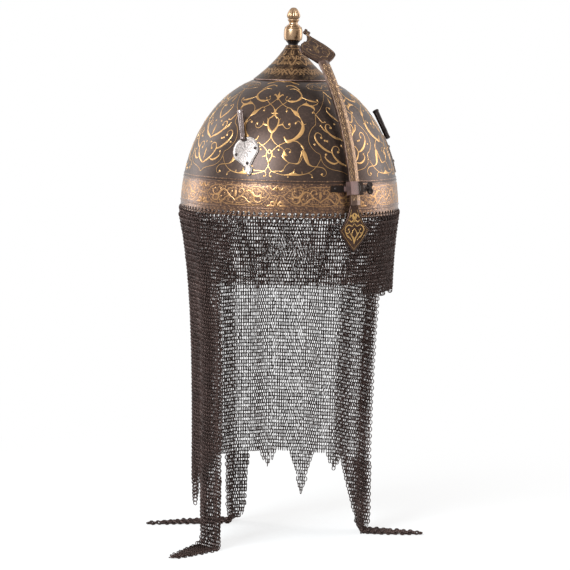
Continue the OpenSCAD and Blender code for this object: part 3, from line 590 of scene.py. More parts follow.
def bowl_ornament():
    """Four scroll panels and four cartouches, eight units of the brow band and nine of the apex plate."""
    panels, letters, band, cone = Shape(), Shape(), Shape(), Shape()
    for k in range(4):
        panel, cartouche = on_bowl(45 + 90 * k), on_bowl(90 * k)
        draw(panels, PANEL, panel, thick=0.4, swell=1.5)
        draw(panels, TOP_BARS, panel, steps=5, thick=0.6)
        draw(letters, CARTOUCHE, cartouche, thick=0.45, swell=1.4)
        draw(cone, MEDALLION, cartouche, steps=4, thick=0.8)
    for k in range(8):
        unit, node = on_bowl(BAND_PHASE + 22.5 + 45 * k), on_bowl(BAND_PHASE + 45 * k)
        draw(band, BAND_UNIT, unit, steps=5, lift=0.1)
        draw(band, BAND_PALMETTE, node, steps=5, lift=0.14)
        spots = [(x + rng.uniform(-0.8, 0.8), z + rng.uniform(-0.6, 0.6))
                 for x in np.arange(-39, 40, 3.9) for z in (11.6, 15.2, 18.9, 22.6, 26.4)
                 if rng.random() < 0.8 and not (abs(x) > 36 and (z < 18 or z > 23))]
        curls(band, unit, spots, 1.5, 0.42, 0.07)
    for k in range(9):
        place = on_turned(CONE_PHASE + 40 * k, cone_r, cone_slope)
        draw(cone, CONE_UNIT, place, steps=4, lift=0.1)
        spots = [(x, z) for x in np.arange(-12, 13, 4.0) for z in (133, 136)]
        spots += [(x, z) for x in (-6, -2, 2, 6) for z in (143, 146)]
        curls(cone, place, spots, 1.2, 0.5, 0.07)
    panels.make("gold_scroll_panels", GOLD, slot="band_gilt")
    letters.make("gold_cartouches", GOLD, slot="band_gilt")
    band.make("gilt_brow_band_ornament", BAND_GOLD, slot="band_gilt")
    cone.make("gilt_apex_ornament", CONE_GOLD, slot="band_gilt")


# ---------------------------------------------------------------- bowl, apex plate, finial


def bead_lift(z):
    return sum(BEAD_PROUD * np.sqrt(np.maximum(0, 1 - ((z - b) / (BEAD_W / 2)) ** 2)) for b in BEADS)


def skull():
    """The bowl: a turned shell with its beads, and a strip at the rim with a round hole for each link."""
    per, strip_top, coarse = 16, 6.9, 240
    shell = Shape()
    step = 2 * np.pi / LINKS
    side = np.linspace(-1, 1, 5)[:-1]
    one = np.ones(len(side))
    edge = np.vstack([np.c_[side, -one], np.c_[one, side], np.c_[-side, one], np.c_[-one, -side]])
    # the corners of the sector lie at 45 degrees in the unit square
    a = rad(-135 + 360 / per * np.arange(per))
    x = np.r_[edge[:, 0] * step / 2, HOLE_D / 2 * np.cos(a) / BOWL_R]
    z = np.r_[(edge[:, 1] + 1) / 2 * strip_top, HOLE_D / 2 * np.sin(a) + HOLE_Z]
    for k in range(LINKS):
        # one sector's outer points and those of its hole, outside and then inside
        angle = k * step + x
        sector = [np.stack([r * np.sin(angle), -r * np.cos(angle), z], 1) for r in (bowl_r(z), inner_r(z))]
        shell.put(np.vstack(sector), ring_faces(0, per, per), ring_faces(3 * per, 2 * per, per),
                  ring_faces(per, 3 * per, per), [[2 * per + i, 2 * per + i + 1, i + 1, i] for i in range(4)])
    zs = [strip_top]
    for b in BEADS:
        zs += list(b + BEAD_W / 2 * np.cos(np.linspace(np.pi, 0, 9)))
    plain = np.r_[np.arange(9.6, 126, 2.2), BOWL_H * np.sin(np.linspace(rad(67), rad(88.3), 12))]
    zs += [z for z in plain if min(abs(z - b) for b in BEADS) > BEAD_W / 2 + 0.2]
    zs = np.unique(np.round(zs, 3))
    zs = zs[zs >= strip_top]
    top_out = float(bowl_z(BORE))
    z_in = np.r_[strip_top, np.arange(9, 118, 4), (BOWL_H - WALL) * np.sin(np.linspace(rad(68), rad(88.2), 10))]
    # rows from the strip's top, over the crown, and back down inside to the strip's top
    r = np.r_[bowl_r(zs) + bead_lift(zs), BORE, BORE, inner_r(z_in)[::-1]][:, None]
    z = np.r_[zs, top_out, top_out - WALL, z_in[::-1]][:, None]
    a = 2 * np.pi * (np.arange(coarse) - 1) / coarse
    shell.put(np.stack([r * np.sin(a), -r * np.cos(a), z + 0 * a], -1), grid_faces(len(r), coarse)[:, ::-1])
    bowl = shell.make("skull_bowl_shell", STEEL, slot="skull", replaces=("skull_bowl",), sharp=50, weld=0.02)
    bowl.data.materials.append(BAND)
    for face in bowl.data.polygons:
        face.material_index = int(face.center.z < BEADS[1] * MM)


def brow_band():
    """The coppery etched ground between the beads, a skin just proud of the bowl, and a skin on each bead."""
    skin = Shape()

    def hoop(z, proud, deep):
        lathe(skin, np.r_[np.c_[bowl_r(z) + proud, z], np.c_[bowl_r(z) - deep, z][::-1]], 240)

    hoop(np.linspace(BEADS[0] + 0.75, BEADS[1] - 0.75, 12), np.r_[-0.1, np.full(10, 0.05), -0.1], 0.25)
    for b in BEADS:
        z = b + 0.9 * BEAD_W / 2 * np.cos(np.linspace(np.pi, 0, 9))
        hoop(z, bead_lift(z) + 0.03, 0.3)
    skin.make("etched_brow_band", BAND, slot="band_gilt", sharp=60)


def apex_plate():
    """The plate under the finial, with a bead round it, and a rounded rim at its foot."""
    low, bead_z, bead_half, bead_proud = CONE_LOW, 138.4, 0.9, 0.35
    zs = low + (CONE_TOP - low) * np.linspace(0, 1, 40) ** 1.3
    bead = bead_proud * np.sqrt(np.maximum(0, 1 - ((zs - bead_z) / bead_half) ** 2))
    outer = np.stack([cone_r(zs) + bead, zs], 1)
    inside = [(float(cone_r(z)) - CONE_WALL, z - 0.5 * CONE_WALL) for z in zs[-4:4:-1]]
    foot = CONE_R - 3
    plate = Shape()
    lathe(plate, np.r_[[(CONE_R - 0.1, low - CONE_WALL), (CONE_R + 0.12, low - 0.55)], outer[1:],
                       [(BORE, CONE_TOP), (BORE, CONE_TOP - 2)], inside, [(foot, float(bowl_z(foot)) + SEAT)]], 180)
    plate.make("apex_plate", CONE_STEEL, slot="skull", replaces=("apex_cone",), sharp=50)
    rim = Shape()
    t = np.linspace(-1, 1, 9)
    lathe(rim, np.r_[np.c_[CONE_R + 0.14 + 0.3 * np.sqrt(1 - t * t), low - 0.5 + 0.6 * t],
                     [(CONE_R - 0.6, low + 0.1), (CONE_R - 0.6, low - 1.1)]], 180)
    rim.make("apex_plate_rim", PATINA, slot="skull")


def finial():
    """Brass: a drum, a moulding, a neck with its ring and a fluted acorn. The collar under it is of iron."""
    z0 = CONE_TOP + COLLAR_H
    neck_z, acorn_z, top = z0 + DRUM_H, z0 + DRUM_H + NECK_H, z0 + 0.8 * DRUM_H
    s, d, ring = 0.3 * NECK_H, DRUM_R, 0.83 * ACORN_R
    drum = [(0.8 * d, z0), (0.93 * d, z0 + 0.9), (0.985 * d, z0 + 3.4), (d, z0 + 0.5 * DRUM_H),
            (0.985 * d, neck_z - 3), (0.95 * d, neck_z - 0.9), (0.88 * d, neck_z - 0.1)]
    moulding = [(0.88, 0), (0.93, 0.15), (0.85, 0.45), (0.7, 0.62)]
    step = [(0.72, 0.66), (0.7, 0.9), (0.58, 1.1)]
    neck = [(0.5 * d, neck_z + 1.3 * s), (0.475 * d, neck_z + 1.8 * s), (0.5 * d, acorn_z - 1.15 * s),
            (0.98 * ring, acorn_z - 0.85 * s), (1.04 * ring, acorn_z - 0.5 * s), (0.93 * ring, acorn_z - 0.15 * s),
            (0.86 * ring, acorn_z + 0.2)]
    body = Shape()
    lathe(body, np.r_[[(BORE, z0), (0.8 * d - 0.2, z0)], curve(drum, 5),
                      curve([(r * d, neck_z + z * s) for r, z in moulding], 4),
                      curve([(r * d, neck_z + z * s) for r, z in step], 4), curve(neck, 5),
                      [(0.05, acorn_z + 0.4), (0.05, top), (BORE, top)]], 120)
    n, rows = 8 * FLUTES, 28
    u = np.linspace(0, 1, rows + 1)[:-1]
    dome = np.maximum(0, 1 - (np.maximum(u - 0.2, 0) / 0.86) ** 1.7) ** 0.66
    swell = ACORN_R * np.where(u < 0.2, 0.86 + 0.7 * u, dome)
    a = around(n)
    lobe = 0.86 + 0.14 * np.abs(np.cos(FLUTES * a / 2)) ** 0.7
    r = swell[:, None] * (lobe + (1 - lobe) * np.clip((u[:, None] - 0.8) / 0.2, 0, 1) ** 2)
    points = np.stack([r * np.cos(a), r * np.sin(a), acorn_z + ACORN_H * u[:, None] + 0 * a], -1).reshape(-1, 3)
    body.put(np.vstack([points, [[0, 0, acorn_z], [0, 0, acorn_z + ACORN_H]]]), grid_faces(rows, n)[:, ::-1],
             fan_faces(0, rows * n, n)[:, [1, 0, 2]], fan_faces((rows - 1) * n, rows * n + 1, n))
    body.make("finial_brass", BRASS, slot="brass", replaces=("finial",), sharp=50)
    collar = Shape()
    wide = [(0.69, 0), (0.66, 0.9), (0.72, 1.8), (0.95, 3.6), (1, COLLAR_H - 0.25), (0.97, COLLAR_H)]
    lathe(collar, [(BORE, CONE_TOP), *((r * COLLAR_R, CONE_TOP + z) for r, z in wide), (BORE, CONE_TOP + COLLAR_H)])
    collar.make("finial_collar_iron", IRON, slot="iron", replaces=("finial_collar",), sharp=40)


# ---------------------------------------------------------------- plates cut from outlines


def outline(corners, half, length, steps=8):
    """Half-outline corners [x share, y share, bulge] as in the source, made a full closed outline."""
    at = [np.array([c[0] * half, c[1] * length]) for c in corners]
    side = [at[0]]
    t = np.linspace(0, 1, steps + 1)[1:, None]
    for a, b, c in zip(at, at[1:], corners[1:]):
        normal = np.array([b[1] - a[1], a[0] - b[0]])
        side += list(a + (b - a) * t + normal * c[2] * 4 * t * (1 - t))
    side = np.array(side)
    return np.vstack([side, side[-2::-1] * [-1, 1]])


def outward(border):
    """Unit normals of a closed outline that runs counter-clockwise."""
    ahead = np.roll(border, -1, 0) - np.roll(border, 1, 0)
    away = np.stack([ahead[:, 1], -ahead[:, 0]], 1)
    return away / np.hypot(*away.T)[:, None]


def plate(shape, border, place, thickness, spacing, rim, rim_width):
    """A plate from a closed outline (counter-clockwise), laid by place(x, y, height), with a raised border."""
    n = len(border)
    away = outward(border)
    core = border - away * rim_width
    lo, hi = border.min(0), border.max(0)
    x, y = (v.ravel() for v in np.meshgrid(np.arange(lo[0], hi[0], spacing), np.arange(lo[1], hi[1], spacing)))
    xs, ys = core.T
    xn, yn = np.roll(xs, -1), np.roll(ys, -1)
    spans = (ys > y[:, None]) != (yn > y[:, None])
    crosses = spans & (x[:, None] < (xn - xs) * (y[:, None] - ys) / (yn - ys + 1e-12) + xs)
    inside = crosses.sum(1) % 2 == 1
    near = np.hypot(x[:, None] - xs, y[:, None] - ys).min(1) > 0.6 * spacing
    flat = [Vector(p) for p in np.vstack([core, np.c_[x, y][inside & near]])]
    verts, _, faces, _, _, _ = delaunay_2d_cdt(flat, [], [list(range(n))], 1, 1e-4)
    verts = np.array([tuple(v) for v in verts])
    tris = np.array([f for f in faces if len(f) == 3])
    rings = [(0.0, -thickness), (0.0, -0.25), (0.22, 0.0), (0.22 + 0.3 * rim_width, rim), (0.8 * rim_width, rim)]
    points = [place(*(border - away * d).T, h) for d, h in rings]
    points += [place(*verts.T, 0.0), place(*verts.T, -thickness)]
    top, low = 5 * n, 5 * n + len(verts)
    shape.put(np.vstack(points), grid_faces(5, n)[:, ::-1], ring_faces(4 * n, top, n), ring_faces(low, 0, n),
              tris + top, tris[:, ::-1] + low)


PLUME_CORNERS = [[0.34, 0, 0], [0.97, 0.27, 0.14], [0.9, 0.48, 0.06], [0.2, 0.78, -0.02], [0.24, 0.9, 0.35],
                 [0, 1, 0.12]]
LOW_CORNERS = [[0.26, 0, 0], [1, 0.53, -0.09], [0, 1, 0.04]]
HIGH_OUTLINE = """
4.5,-.6 7.6,.6 11,3 15.9,6.6 19.4,10.2 20,12.4
20,12.4 19.4,15.6 14.3,23.4 8.4,30 3.2,36.2 1.6,39.2
1.6,39.2 3.2,39.8 5.2,41.6 4.9,43.6 3.2,44.2
3.2,44.2 4.1,46 3.2,47.7 1.5,47.3 1,45.6 1,44.4
1,44.4 -.9,44.8 -2.1,43.2 -1.4,41.2 -.2,40.2 0,38.6
0,38.6 -1.6,34.6 -4,31 -6.4,28.8
-6.4,28.8 -8.4,28.4 -10.7,26.9 -13,25.4
-13,25.4 -16.4,20.6 -17.5,17.4 -17,13.6
-17,13.6 -12.4,8.2 -8.4,4.4 -4.4,.6
"""

PLUME_LINES = """
0,13.5,.5 1.6,16.4,1.5 .6,19.6,.5
1,13.2,.5 4.4,14.6,1.5 6.8,17.4,.4
1.2,12.6,.5 4.8,11.4,1.5 8,12.6,.4
.8,12,.5 2.8,9,1.4 5.6,7.4,.4
0,11.6,.5 .1,8,1.4 0,4.8,.4
3.4,5.4,.4 6.6,5.8,1.1 9.2,9,.9 10.6,12.4,.5
10.4,14,.4 9.8,17.4,1 7,19.4,.5
1.4,20.4,.5 4.2,21.4,1 4.4,24,.4
0,21,.4 .1,24.4,1.3 0,27.6,.4
1.2,29.6,.4 1.8,31.4,.9 .4,33.2,.4
"""


def plume(side, name, tube_look):
    """A plume tube on its engraved plate, with the plate's three rivets. side is -1 on the wearer's right."""
    plates, lines, tubes, heads = Shape(), Shape(), Shape(), Shape()
    skin = on_bowl(side * PLUME_ANGLE, SEAT + PLATE_T)
    turn = math.radians(side * PLUME_LEAN)

    def spot(x, y):
        """A spot of the plate as its way along the bowl's skin and its height."""
        up = PLATE_L / 2 - y
        along = x * math.cos(turn) + up * math.sin(turn)
        return along, PLATE_LOW + PLATE_L / 2 + up * math.cos(turn) - x * math.sin(turn)

    def place(x, y, h):
        return skin(*spot(x, y), h)

    def bearing(x, y):
        """A spot of the plate as its angle round the bowl and its height."""
        along, z = spot(x, y)
        return side * PLUME_ANGLE + math.degrees(math.asin(along / float(bowl_r(z)))), z

    border = outline(PLUME_CORNERS, PLATE_W / 2, PLATE_L)
    plate(plates, border, place, PLATE_T, 1.8, 0.14, 0.9)
    draw(lines, PLUME_LINES, place, steps=4, lift=0.07)
    inner = np.c_[border * [0.82, 0.94] + [0, 0.9], np.full(len(border), 0.4)]
    ribbon(lines, np.vstack([inner, inner[:1]]), place, 0.07)

    f, t, b, end = 0.84 * TUBE_D / 2, TUBE_D / 2, TUBE_BORE / 2, TUBE_L
    at = bowl_frame(*bearing(0, PLATE_L / 12)) @ Matrix.Translation((0, 0, f + PLATE_T + 2 * SEAT))
    at = matrix_place(at @ Matrix.Rotation(-turn, 4, "Z") @ Matrix.Rotation(-math.pi / 2, 4, "X"))
    lathe(tubes, [(0.05, 0), (f - 0.3, 0), (f, 0.3), (f + 0.25, 0.8), (f + 0.25, 1.5), (f, 2.1), (f + 0.02, 5),
                  (t - 0.05, end - 3.4), (t, end - 1.9), (t + 0.35, end - 1.3), (t + 0.35, end - 0.5), (t + 0.1, end),
                  (b + 0.3, end), (b, end - 0.4), (b, end - TUBE_DEPTH), (0.05, end - TUBE_DEPTH)], 40, at)
    for y in (7.0, 8.1, 9.2):
        lathe(tubes, [(f + 0.1, y), (f + 0.32, y + 0.4), (f + 0.1, y + 0.8), (f - 0.3, y + 0.4)], 40, at)
    for x, y in ((-0.36, 0.36), (0.36, 0.36), (0, 0.68)):
        rivet(heads, *bearing(PLATE_W * x, PLATE_L * y), PLATE_T)
    plates.make(f"plume_plate_{name}_silver", ENGRAVED, slot="bright_steel", replaces=(f"plume_plate_{name}",),
                sharp=45)
    lines.make(f"plume_plate_{name}_engraving", LINE, slot="bright_steel")
    tubes.make(f"plume_tube_{name}_iron", tube_look, slot="bright_steel", replaces=(f"plume_tube_{name}",), sharp=45)
    heads.make(f"plume_rivets_{name}_iron", IRON, slot="iron", replaces=(f"plume_rivets_{name}",), sharp=50)


def bowl_frame(angle, z):
    """Matrix of a spot on the bowl: +X runs round to the wearer's left, +Y up the skin, +Z out of it."""
    at = Matrix.Rotation(math.radians(angle), 4, "Z") @ Matrix.Translation((0, -float(bowl_r(z)), z))
    return at @ Matrix.Rotation(math.pi / 2 - float(bowl_slope(z)), 4, "X")


def rivet(shape, angle, z, thickness):
    """A rivet through the bowl and a plate on it, domed outside and inside."""
    r, h, lift, tail = RIVET_HEAD / 2, 0.9, thickness + 2 * SEAT, -WALL - SEAT
    dome = [(r * math.cos(a), h * math.sin(a)) for a in np.linspace(0, rad(84), 7)]
    lathe(shape, [(0.03, tail - h), *((x, tail - y) for x, y in dome[::-1]), (RIVET_D / 2, tail),
                  (RIVET_D / 2, lift), *((x, lift + y) for x, y in dome), (0.03, lift + h)], 20,
          matrix_place(bowl_frame(angle, z)))


# ---------------------------------------------------------------- nasal


def on_nasal(radius_of):
    """place() for the nasal's curve: x runs across it, y along it from the level of its centre."""
    def place(x, s, h):
        a = s / NASAL_R
        r = radius_of(x) + h
        return np.stack([x + 0 * a, NASAL_R - NASAL_REACH - r * np.cos(a), NASAL_Z + r * np.sin(a)], -1)
    return place


BAR_BACK = NASAL_R - BAR_D / 2
LEAF_FRONT = BAR_BACK - SEAT
BAR_FROM, BAR_TO = NASAL_R * math.radians(BAR_LOW), NASAL_R * math.radians(BAR_HIGH)

LOW_INLAY = """
0,7,.8 1.8,9.4,2.4 .6,12.6,3 0,15.6,1.4
1.4,10.4,1.6 4.2,9.4,1.8 5,11.6,.8
1.6,14.2,1.6 3.8,15.4,1.6 5.8,13.4,.8
.4,17,.8 2.6,19.6,1.1 6.6,18.4,1.2 9.8,20.6,1.3 10.4,24.4,1.2 7.6,26.4,1.1 5.4,24.4,.9 6.8,22.6,.8 o.9
10.4,24.4,1.1 7.6,29.4,1.2 4.2,31,1
0,21.6,.8 2,24.4,1.1 3,28.4,1.3 1,31.4,2 0,36.6,.8
1.6,29.8,1.6 4,27.6,1 4.6,25.6,.6
3,33,1 6.2,29.6,1.1 8,27.6,.7
"""

HIGH_INLAY = """
0,7,1 3,9.4,1.4 7.4,9.6,1.6 10.4,12.6,1.6 10,16.4,1.3 6.8,17,1.1 5.8,14.4,.9 o1
10.4,12.6,1.2 13.6,16.2,1.6 13.2,20.6,1.6 9.4,22.4,1.3 7,20.4,1 o1
0,12.6,.8 1.6,16,2.6 .4,20.4,2.6 0,24,.8
1.4,20.6,1.4 4.2,23.4,1.6 4.6,27,1.3 2,29.4,1.1 o.9
4.2,23.4,1.2 8,24.6,1.4 8.4,27,.7
0,29.4,.8 .1,33.4,1.8 0,37,.6
2.4,5.4,.8 5.4,6,1.2 7.6,5.6,.6
"""


def nasal_bar():
    half = BAR_W / 2
    section = np.array([(half - 0.3, 0), (half, 0.3), (half, BAR_EDGE - 0.45), (half - 0.35, BAR_EDGE + 0.16),
                        (0.9, BAR_D - 0.42), (0.3, BAR_D - 0.06)])
    xs, hs = np.vstack([section, section[::-1] * [-1, 1]]).T
    back = on_nasal(lambda x: BAR_BACK)
    ends = [BAR_FROM, BAR_TO]
    rows = []
    for s in np.r_[ends[0], ends[0] + 0.35, np.linspace(ends[0] + 2, ends[1] - 2, 90), ends[1] - 0.35, ends[1]]:
        shrink = 0.3 if s in ends else 0.0
        heights = np.clip(hs, shrink, None) - shrink * (hs > 1)
        rows.append(back(xs * (1 - shrink / half), np.full(len(xs), s), heights))
    n = len(xs)
    k = np.arange(n)
    bar = Shape()
    bar.put(np.vstack(rows), grid_faces(len(rows), n), [k[::-1]], [(len(rows) - 1) * n + k])
    bar.make("nasal_bar_faceted", BAR_STEEL, "nasal", "skull", ("nasal_bar",), sharp=28)


def bar_inlay():
    """A plait of two strands between two lines on each facet, with a stroke in each of its eyes."""
    face = on_nasal(lambda x: BAR_BACK + BAR_D - (BAR_D - BAR_EDGE) * np.abs(x) / (BAR_W / 2))
    gold = Shape()
    pitch, middle, sway = 7.3, 2.75, 1.45
    count = int((BAR_TO - BAR_FROM - 4) / pitch)
    start = BAR_FROM + (BAR_TO - BAR_FROM - count * pitch) / 2
    t = np.linspace(0, count, 12 * count + 1)
    u = np.linspace(-1, 1, 7)
    for side in (-1, 1):
        for hand in (-1, 1):
            strand = side * (middle + hand * sway * np.sin(np.pi * t))
            ribbon(gold, np.c_[strand, start + t * pitch, 0.5 + 0.25 * np.abs(np.cos(np.pi * t))], face, 0.1)
        for x, width in ((0.4, 0.34), (4.85, 0.3)):
            ribbon(gold, np.c_[side * (x + 0 * t), start + t * pitch, width + 0 * t], face, 0.08)
        for i in range(count):
            eye = start + (i + 0.5) * pitch
            ribbon(gold, np.c_[side * (middle + 0 * u), eye + 1.7 * u, 0.25 + 0.45 * (1 - u * u)], face, 0.08)
    gold.make("nasal_bar_inlay", BAR_GOLD, "nasal", "band_gilt")


def leaf(name, side, start, lean, joint, up, strokes, gilding, width):
    """A leaf of the nasal: its outline grows from its joint with the bar, upwards if up is 1, downwards if -1.

    A line of gold follows its edge from start on.
    """
    flat = on_nasal(lambda x: LEAF_FRONT)

    def along(x, y, h):
        return flat(x, joint + y, h)

    def place(x, y, h):
        return along(x, up * y, h)

    def skewed(x, y, h):
        return place(x, y - lean * x, h)

    tongue = 0.36 * BAR_W
    border = np.vstack([side, [(-tongue, 0.4), (-tongue, -TONGUE), (tongue, -TONGUE), (tongue, 0.4)]])
    shape = Shape()
    # turned over with its leaf, an outline runs the other way
    plate(shape, (border * [1, up])[::up], along, LEAF_T, 2.2, 0.25, 1.0)
    shape.make(name + "_steel", LEAF_STEEL, "nasal", "skull", (name,), sharp=40)
    inlay = Shape()
    draw(inlay, strokes, skewed, steps=5, lift=0.1, thick=0.9, swell=1.25)
    line = (side - 2.0 * outward(side))[side[:, 1] > start]
    ribbon(inlay, np.c_[line, np.full(len(line), width)], place, 0.1)
    inlay.make(name + "_inlay", gilding, "nasal", "band_gilt")


def leaves():
    low_side = outline(LOW_CORNERS, LOW_LEAF_W / 2, LOW_LEAF_L)
    arcs = [curve(numbers(line.split()), 4)[:-1] for line in HIGH_OUTLINE.strip().splitlines()]
    high_side = np.vstack([*arcs, [[-4.4, 0.6]]])
    leaf("nasal_lower_leaf", low_side, 2.6, 0.0, BAR_FROM, -1, LOW_INLAY, LEAF_GOLD, 0.4)
    leaf("nasal_upper_leaf", high_side, 4.4, LEAN, BAR_TO, 1, HIGH_INLAY, DIM_GOLD, 0.7)


def clamp_screw():
    """Screw with a thread, a turned hub and two flat ears."""
    angle = math.asin((BRACKET_Z - NASAL_Z) / NASAL_R)
    at = Matrix.Translation((0, NASAL_R - NASAL_REACH, NASAL_Z)) @ Matrix.Rotation(-angle, 4, "X")
    at = at @ Matrix.Translation((0, -NASAL_R, 0)) @ Matrix.Rotation(math.pi / 2, 4, "Y")
    tip = BAR_W / 2 + BAR_PLAY / 2
    head = BAR_W / 2 + BAR_PLAY + BOX_WALL + SCREW_NECK
    r, hub_r, hub_h = SCREW_D / 2, 0.95 * SCREW_D, 1.2 * SCREW_D
    top, pitch, depth = head + hub_h, 0.55, 0.2
    thread = []
    for z in np.arange(tip + 0.3, head - 1.2, pitch):
        thread += [(r - 0.02 - depth, z), (r - 0.02, z + 0.25), (r - 0.02 - depth, z + 0.5)]
    screw = Shape()
    lathe(screw, [(0.05, tip), (r - 0.5, tip), *thread, (r, head - 0.6), (r, head), (hub_r - 0.3, head),
                  (hub_r, head + 0.3), (hub_r, head + 0.8), (hub_r - 0.5, head + 1.1), (hub_r - 0.4, top - 0.5),
                  (hub_r - 0.9, top), (0.05, top)], 36, matrix_place(at))
    r = SCREW_D
    ear = [(0.05, -0.7), (r - 1.3, -0.75), (r - 0.7, -1.1), (r - 0.25, -1), (r, -0.5),
           (r, 0.5), (r - 0.25, 1), (r - 0.7, 1.1), (r - 1.3, 0.75), (0.05, 0.7)]
    for side in (-1, 1):
        disc = Matrix.Translation((side * (SCREW_HEAD / 2 - r), 0, top - 1.1)) @ Matrix.Rotation(math.pi / 2, 4, "X")
        lathe(screw, ear, 32, matrix_place(at @ disc))
    screw.make("clamp_screw_iron", IRON, "screw", "iron", ("clamp_screw",), sharp=45)


def ease(name, material, width, angle=30.0):
    """A CAD node that keeps its shape: it gets a look, and edges eased by width where they turn by the angle."""
    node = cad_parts[name]
    node.data.materials.clear()
    node.data.materials.append(material)
    node.modifiers.new("weld", "WELD").merge_threshold = 0.02 * MM
    bevel = node.modifiers.new("ease", "BEVEL")
    bevel.width, bevel.segments, bevel.limit_method, bevel.angle_limit = width * MM, 2, "ANGLE", math.radians(angle)


def bracket():
    """The bracket and the crown's stud and nut are the CAD nodes. The bracket gets its rivets and engraving."""
    ease("nasal_bracket", BRACKET, 0.35, 40.0)
    heads = Shape()
    arm = 0.8 * math.degrees(math.asin(STRAP_REACH / BOWL_R))
    for side in (-1, 1):
        rivet(heads, side * arm, STRAP_Z, STRAP_T)
    heads.make("bracket_rivets_iron", IRON, slot="iron", replaces=("bracket_rivets",), sharp=50)
    face = on_nasal(lambda x: NASAL_R + BAR_D / 2 + BAR_PLAY + BOX_WALL)
    middle = math.asin((BRACKET_Z - NASAL_Z) / NASAL_R) * NASAL_R
    lines = Shape()
    a = np.linspace(0, 2 * np.pi, 25)
    for rx, ry in ((3.9, 4.6), (2.1, 2.7)):
        ribbon(lines, np.c_[rx * np.cos(a), middle + ry * np.sin(a), 0 * a + 0.4], face, 0.05)
    draw(lines, f"0,{middle - 2},.3 .1,{middle},1 0,{middle + 2},.3", face, mirror=False, lift=0.05)
    lines.make("bracket_engraving", LINE, slot="bright_steel")
    for name in ("crown_stud", "crown_nut"):
        ease(name, IRON, 0.3)


# ---------------------------------------------------------------- mail

# The CAD source's columns, in degrees: the panels of mail end on them
COLUMN = 22.5 / 8
VEIL_EDGE, NAPE_EDGE = 27 * COLUMN, 52 * COLUMN
# Rings finer than the ribs of the CAD source: PITCH_DEG from one to the next, in rows ROW_PITCH apart
ROW_PITCH, PITCH_DEG, LINK_DEG = 3.45, 1.5, 360 / LINKS
RING_R, WIRE, RING_TURN, LYING_TURN = 2.2, 0.88, 82.0, 30.0
POINT_WIRE, POINT_TURN = 1.1, 84.0
TURN_NOISE, SWAY_NOISE, PLACE_NOISE, SIZE_NOISE, WIRE_NOISE = 5, 3.5, 0.07, 0.02, 0.05
MOST_RINGS = 2050
RIM_LINK_Z = HOLE_Z - 0.3 - LINK_R
FIRST_Z = RIM_LINK_Z - ROW_DROP
RIM_MID = BOWL_R - WALL / 2


def smooth01(x):
    t = np.clip(x, 0, 1)
    return t * t * (3 - 2 * t)


def short(angle):
    """The same angle between -180 and 180. Angles count on past 180 for the nape."""
    return (angle + 180) % 360 - 180


def mail_r(angle, s):
    """Radius of the mail's middle: the veil's as far as 60 degrees, and the curtain's with its folds from 85."""
    share = 1 - smooth01((np.abs(angle) - 60) / 25)
    curtain = RIM_MID - CURTAIN_DRAW + (CURTAIN_DRAW + 0.6 * MAIL_T) * np.exp(-s / CURTAIN_SETTLE)
    veil = RIM_MID - VEIL_DRAW + (VEIL_DRAW + 0.1 * MAIL_T) * np.exp(-s / VEIL_SETTLE)
    waves = 0.7 * np.cos(rad(16 * angle)) + 0.3 * np.cos(rad(9 * angle + 50))
    fold = FOLD * (1 - np.exp(-s / FOLD_SETTLE)) * (1 - 0.85 * share) * waves
    return share * veil + (1 - share) * curtain + fold


def out(angle):
    """Unit vector away from the axis. out(angle + 90) runs round it."""
    return np.stack([np.sin(rad(angle)), -np.cos(rad(angle)), 0 * np.asarray(angle, float)], -1)


def rise(h):
    return np.stack([0 * h, 0 * h, h], -1)


def curtain_point(angle, s):
    """Middle of the hanging mail at a length s below the rim."""
    return mail_r(short(angle), s)[..., None] * out(angle) - rise(s)


def curtain_end(angle):
    a = np.abs(short(angle))
    teeth = ((112.5, 2 * COLUMN, SMALL_POINT), (135, 3 * COLUMN, MIDDLE_POINT), (157.5, 2 * COLUMN, SMALL_POINT))
    return CURTAIN_L + sum(length * np.maximum(0, 1 - np.abs(a - at) / half) for at, half, length in teeth)


def veil_end(angle):
    """The veil is worn away to a ragged edge, and keeps its whole length on the wearer's left."""
    ragged = 1.8 * (1 + np.sin(rad(31 * angle)) * np.sin(rad(13 * angle + 40)))
    return VEIL_L - 11 + 11 * smooth01((angle - 8) / 6) - ragged


def lying_point(at, half, lie, yaw, waist, lead):
    """Middle surface of a long point as place(angle, s), the part of it that has rings, and the s of its tip.

    It drops, bends through BEND and lies on the table for the length lie, turned by yaw.
    lead 1 or -1 keeps its edge of larger or smaller angle upright while it narrows to its waist.
    """
    drop = TABLE - MAIL_T / 2 - BEND - CURTAIN_L
    turned = drop + BEND * np.pi / 2
    root = curtain_point(np.array(at, float), np.array(CURTAIN_L))

    def place(angle, s):
        t = s - CURTAIN_L
        down, bend = np.minimum(t, drop), np.clip((t - drop) / BEND, 0, np.pi / 2)
        along = np.maximum(0, t - turned)
        h = at + yaw * deg(bend) / 90
        middle = root - rise(down + BEND * np.sin(bend)) + (BEND * (1 - np.cos(bend)) + along)[..., None] * out(h)
        edge = curtain_point(angle, np.full_like(s, CURTAIN_L)) - root
        across = edge @ out(at + 90)
        proud = (edge @ out(at)) * (1 - bend / (np.pi / 2))
        lift = np.cos(bend)[..., None] * out(h) + rise(np.sin(bend))
        return middle + across[..., None] * out(h + 90) + proud[..., None] * lift

    def inside(angle, s):
        t = s - CURTAIN_L
        along = np.maximum(0, t - turned)
        lost = (1 - waist) * np.clip(t / drop, 0, 1)
        width = 1 - lost - (waist - 0.1) * np.clip(along / lie, 0, 1) ** 1.5
        return (np.abs(angle - at - lead * lost * half) <= half * width + 0.3) & (along <= lie)
    return place, inside, CURTAIN_L + turned + lie


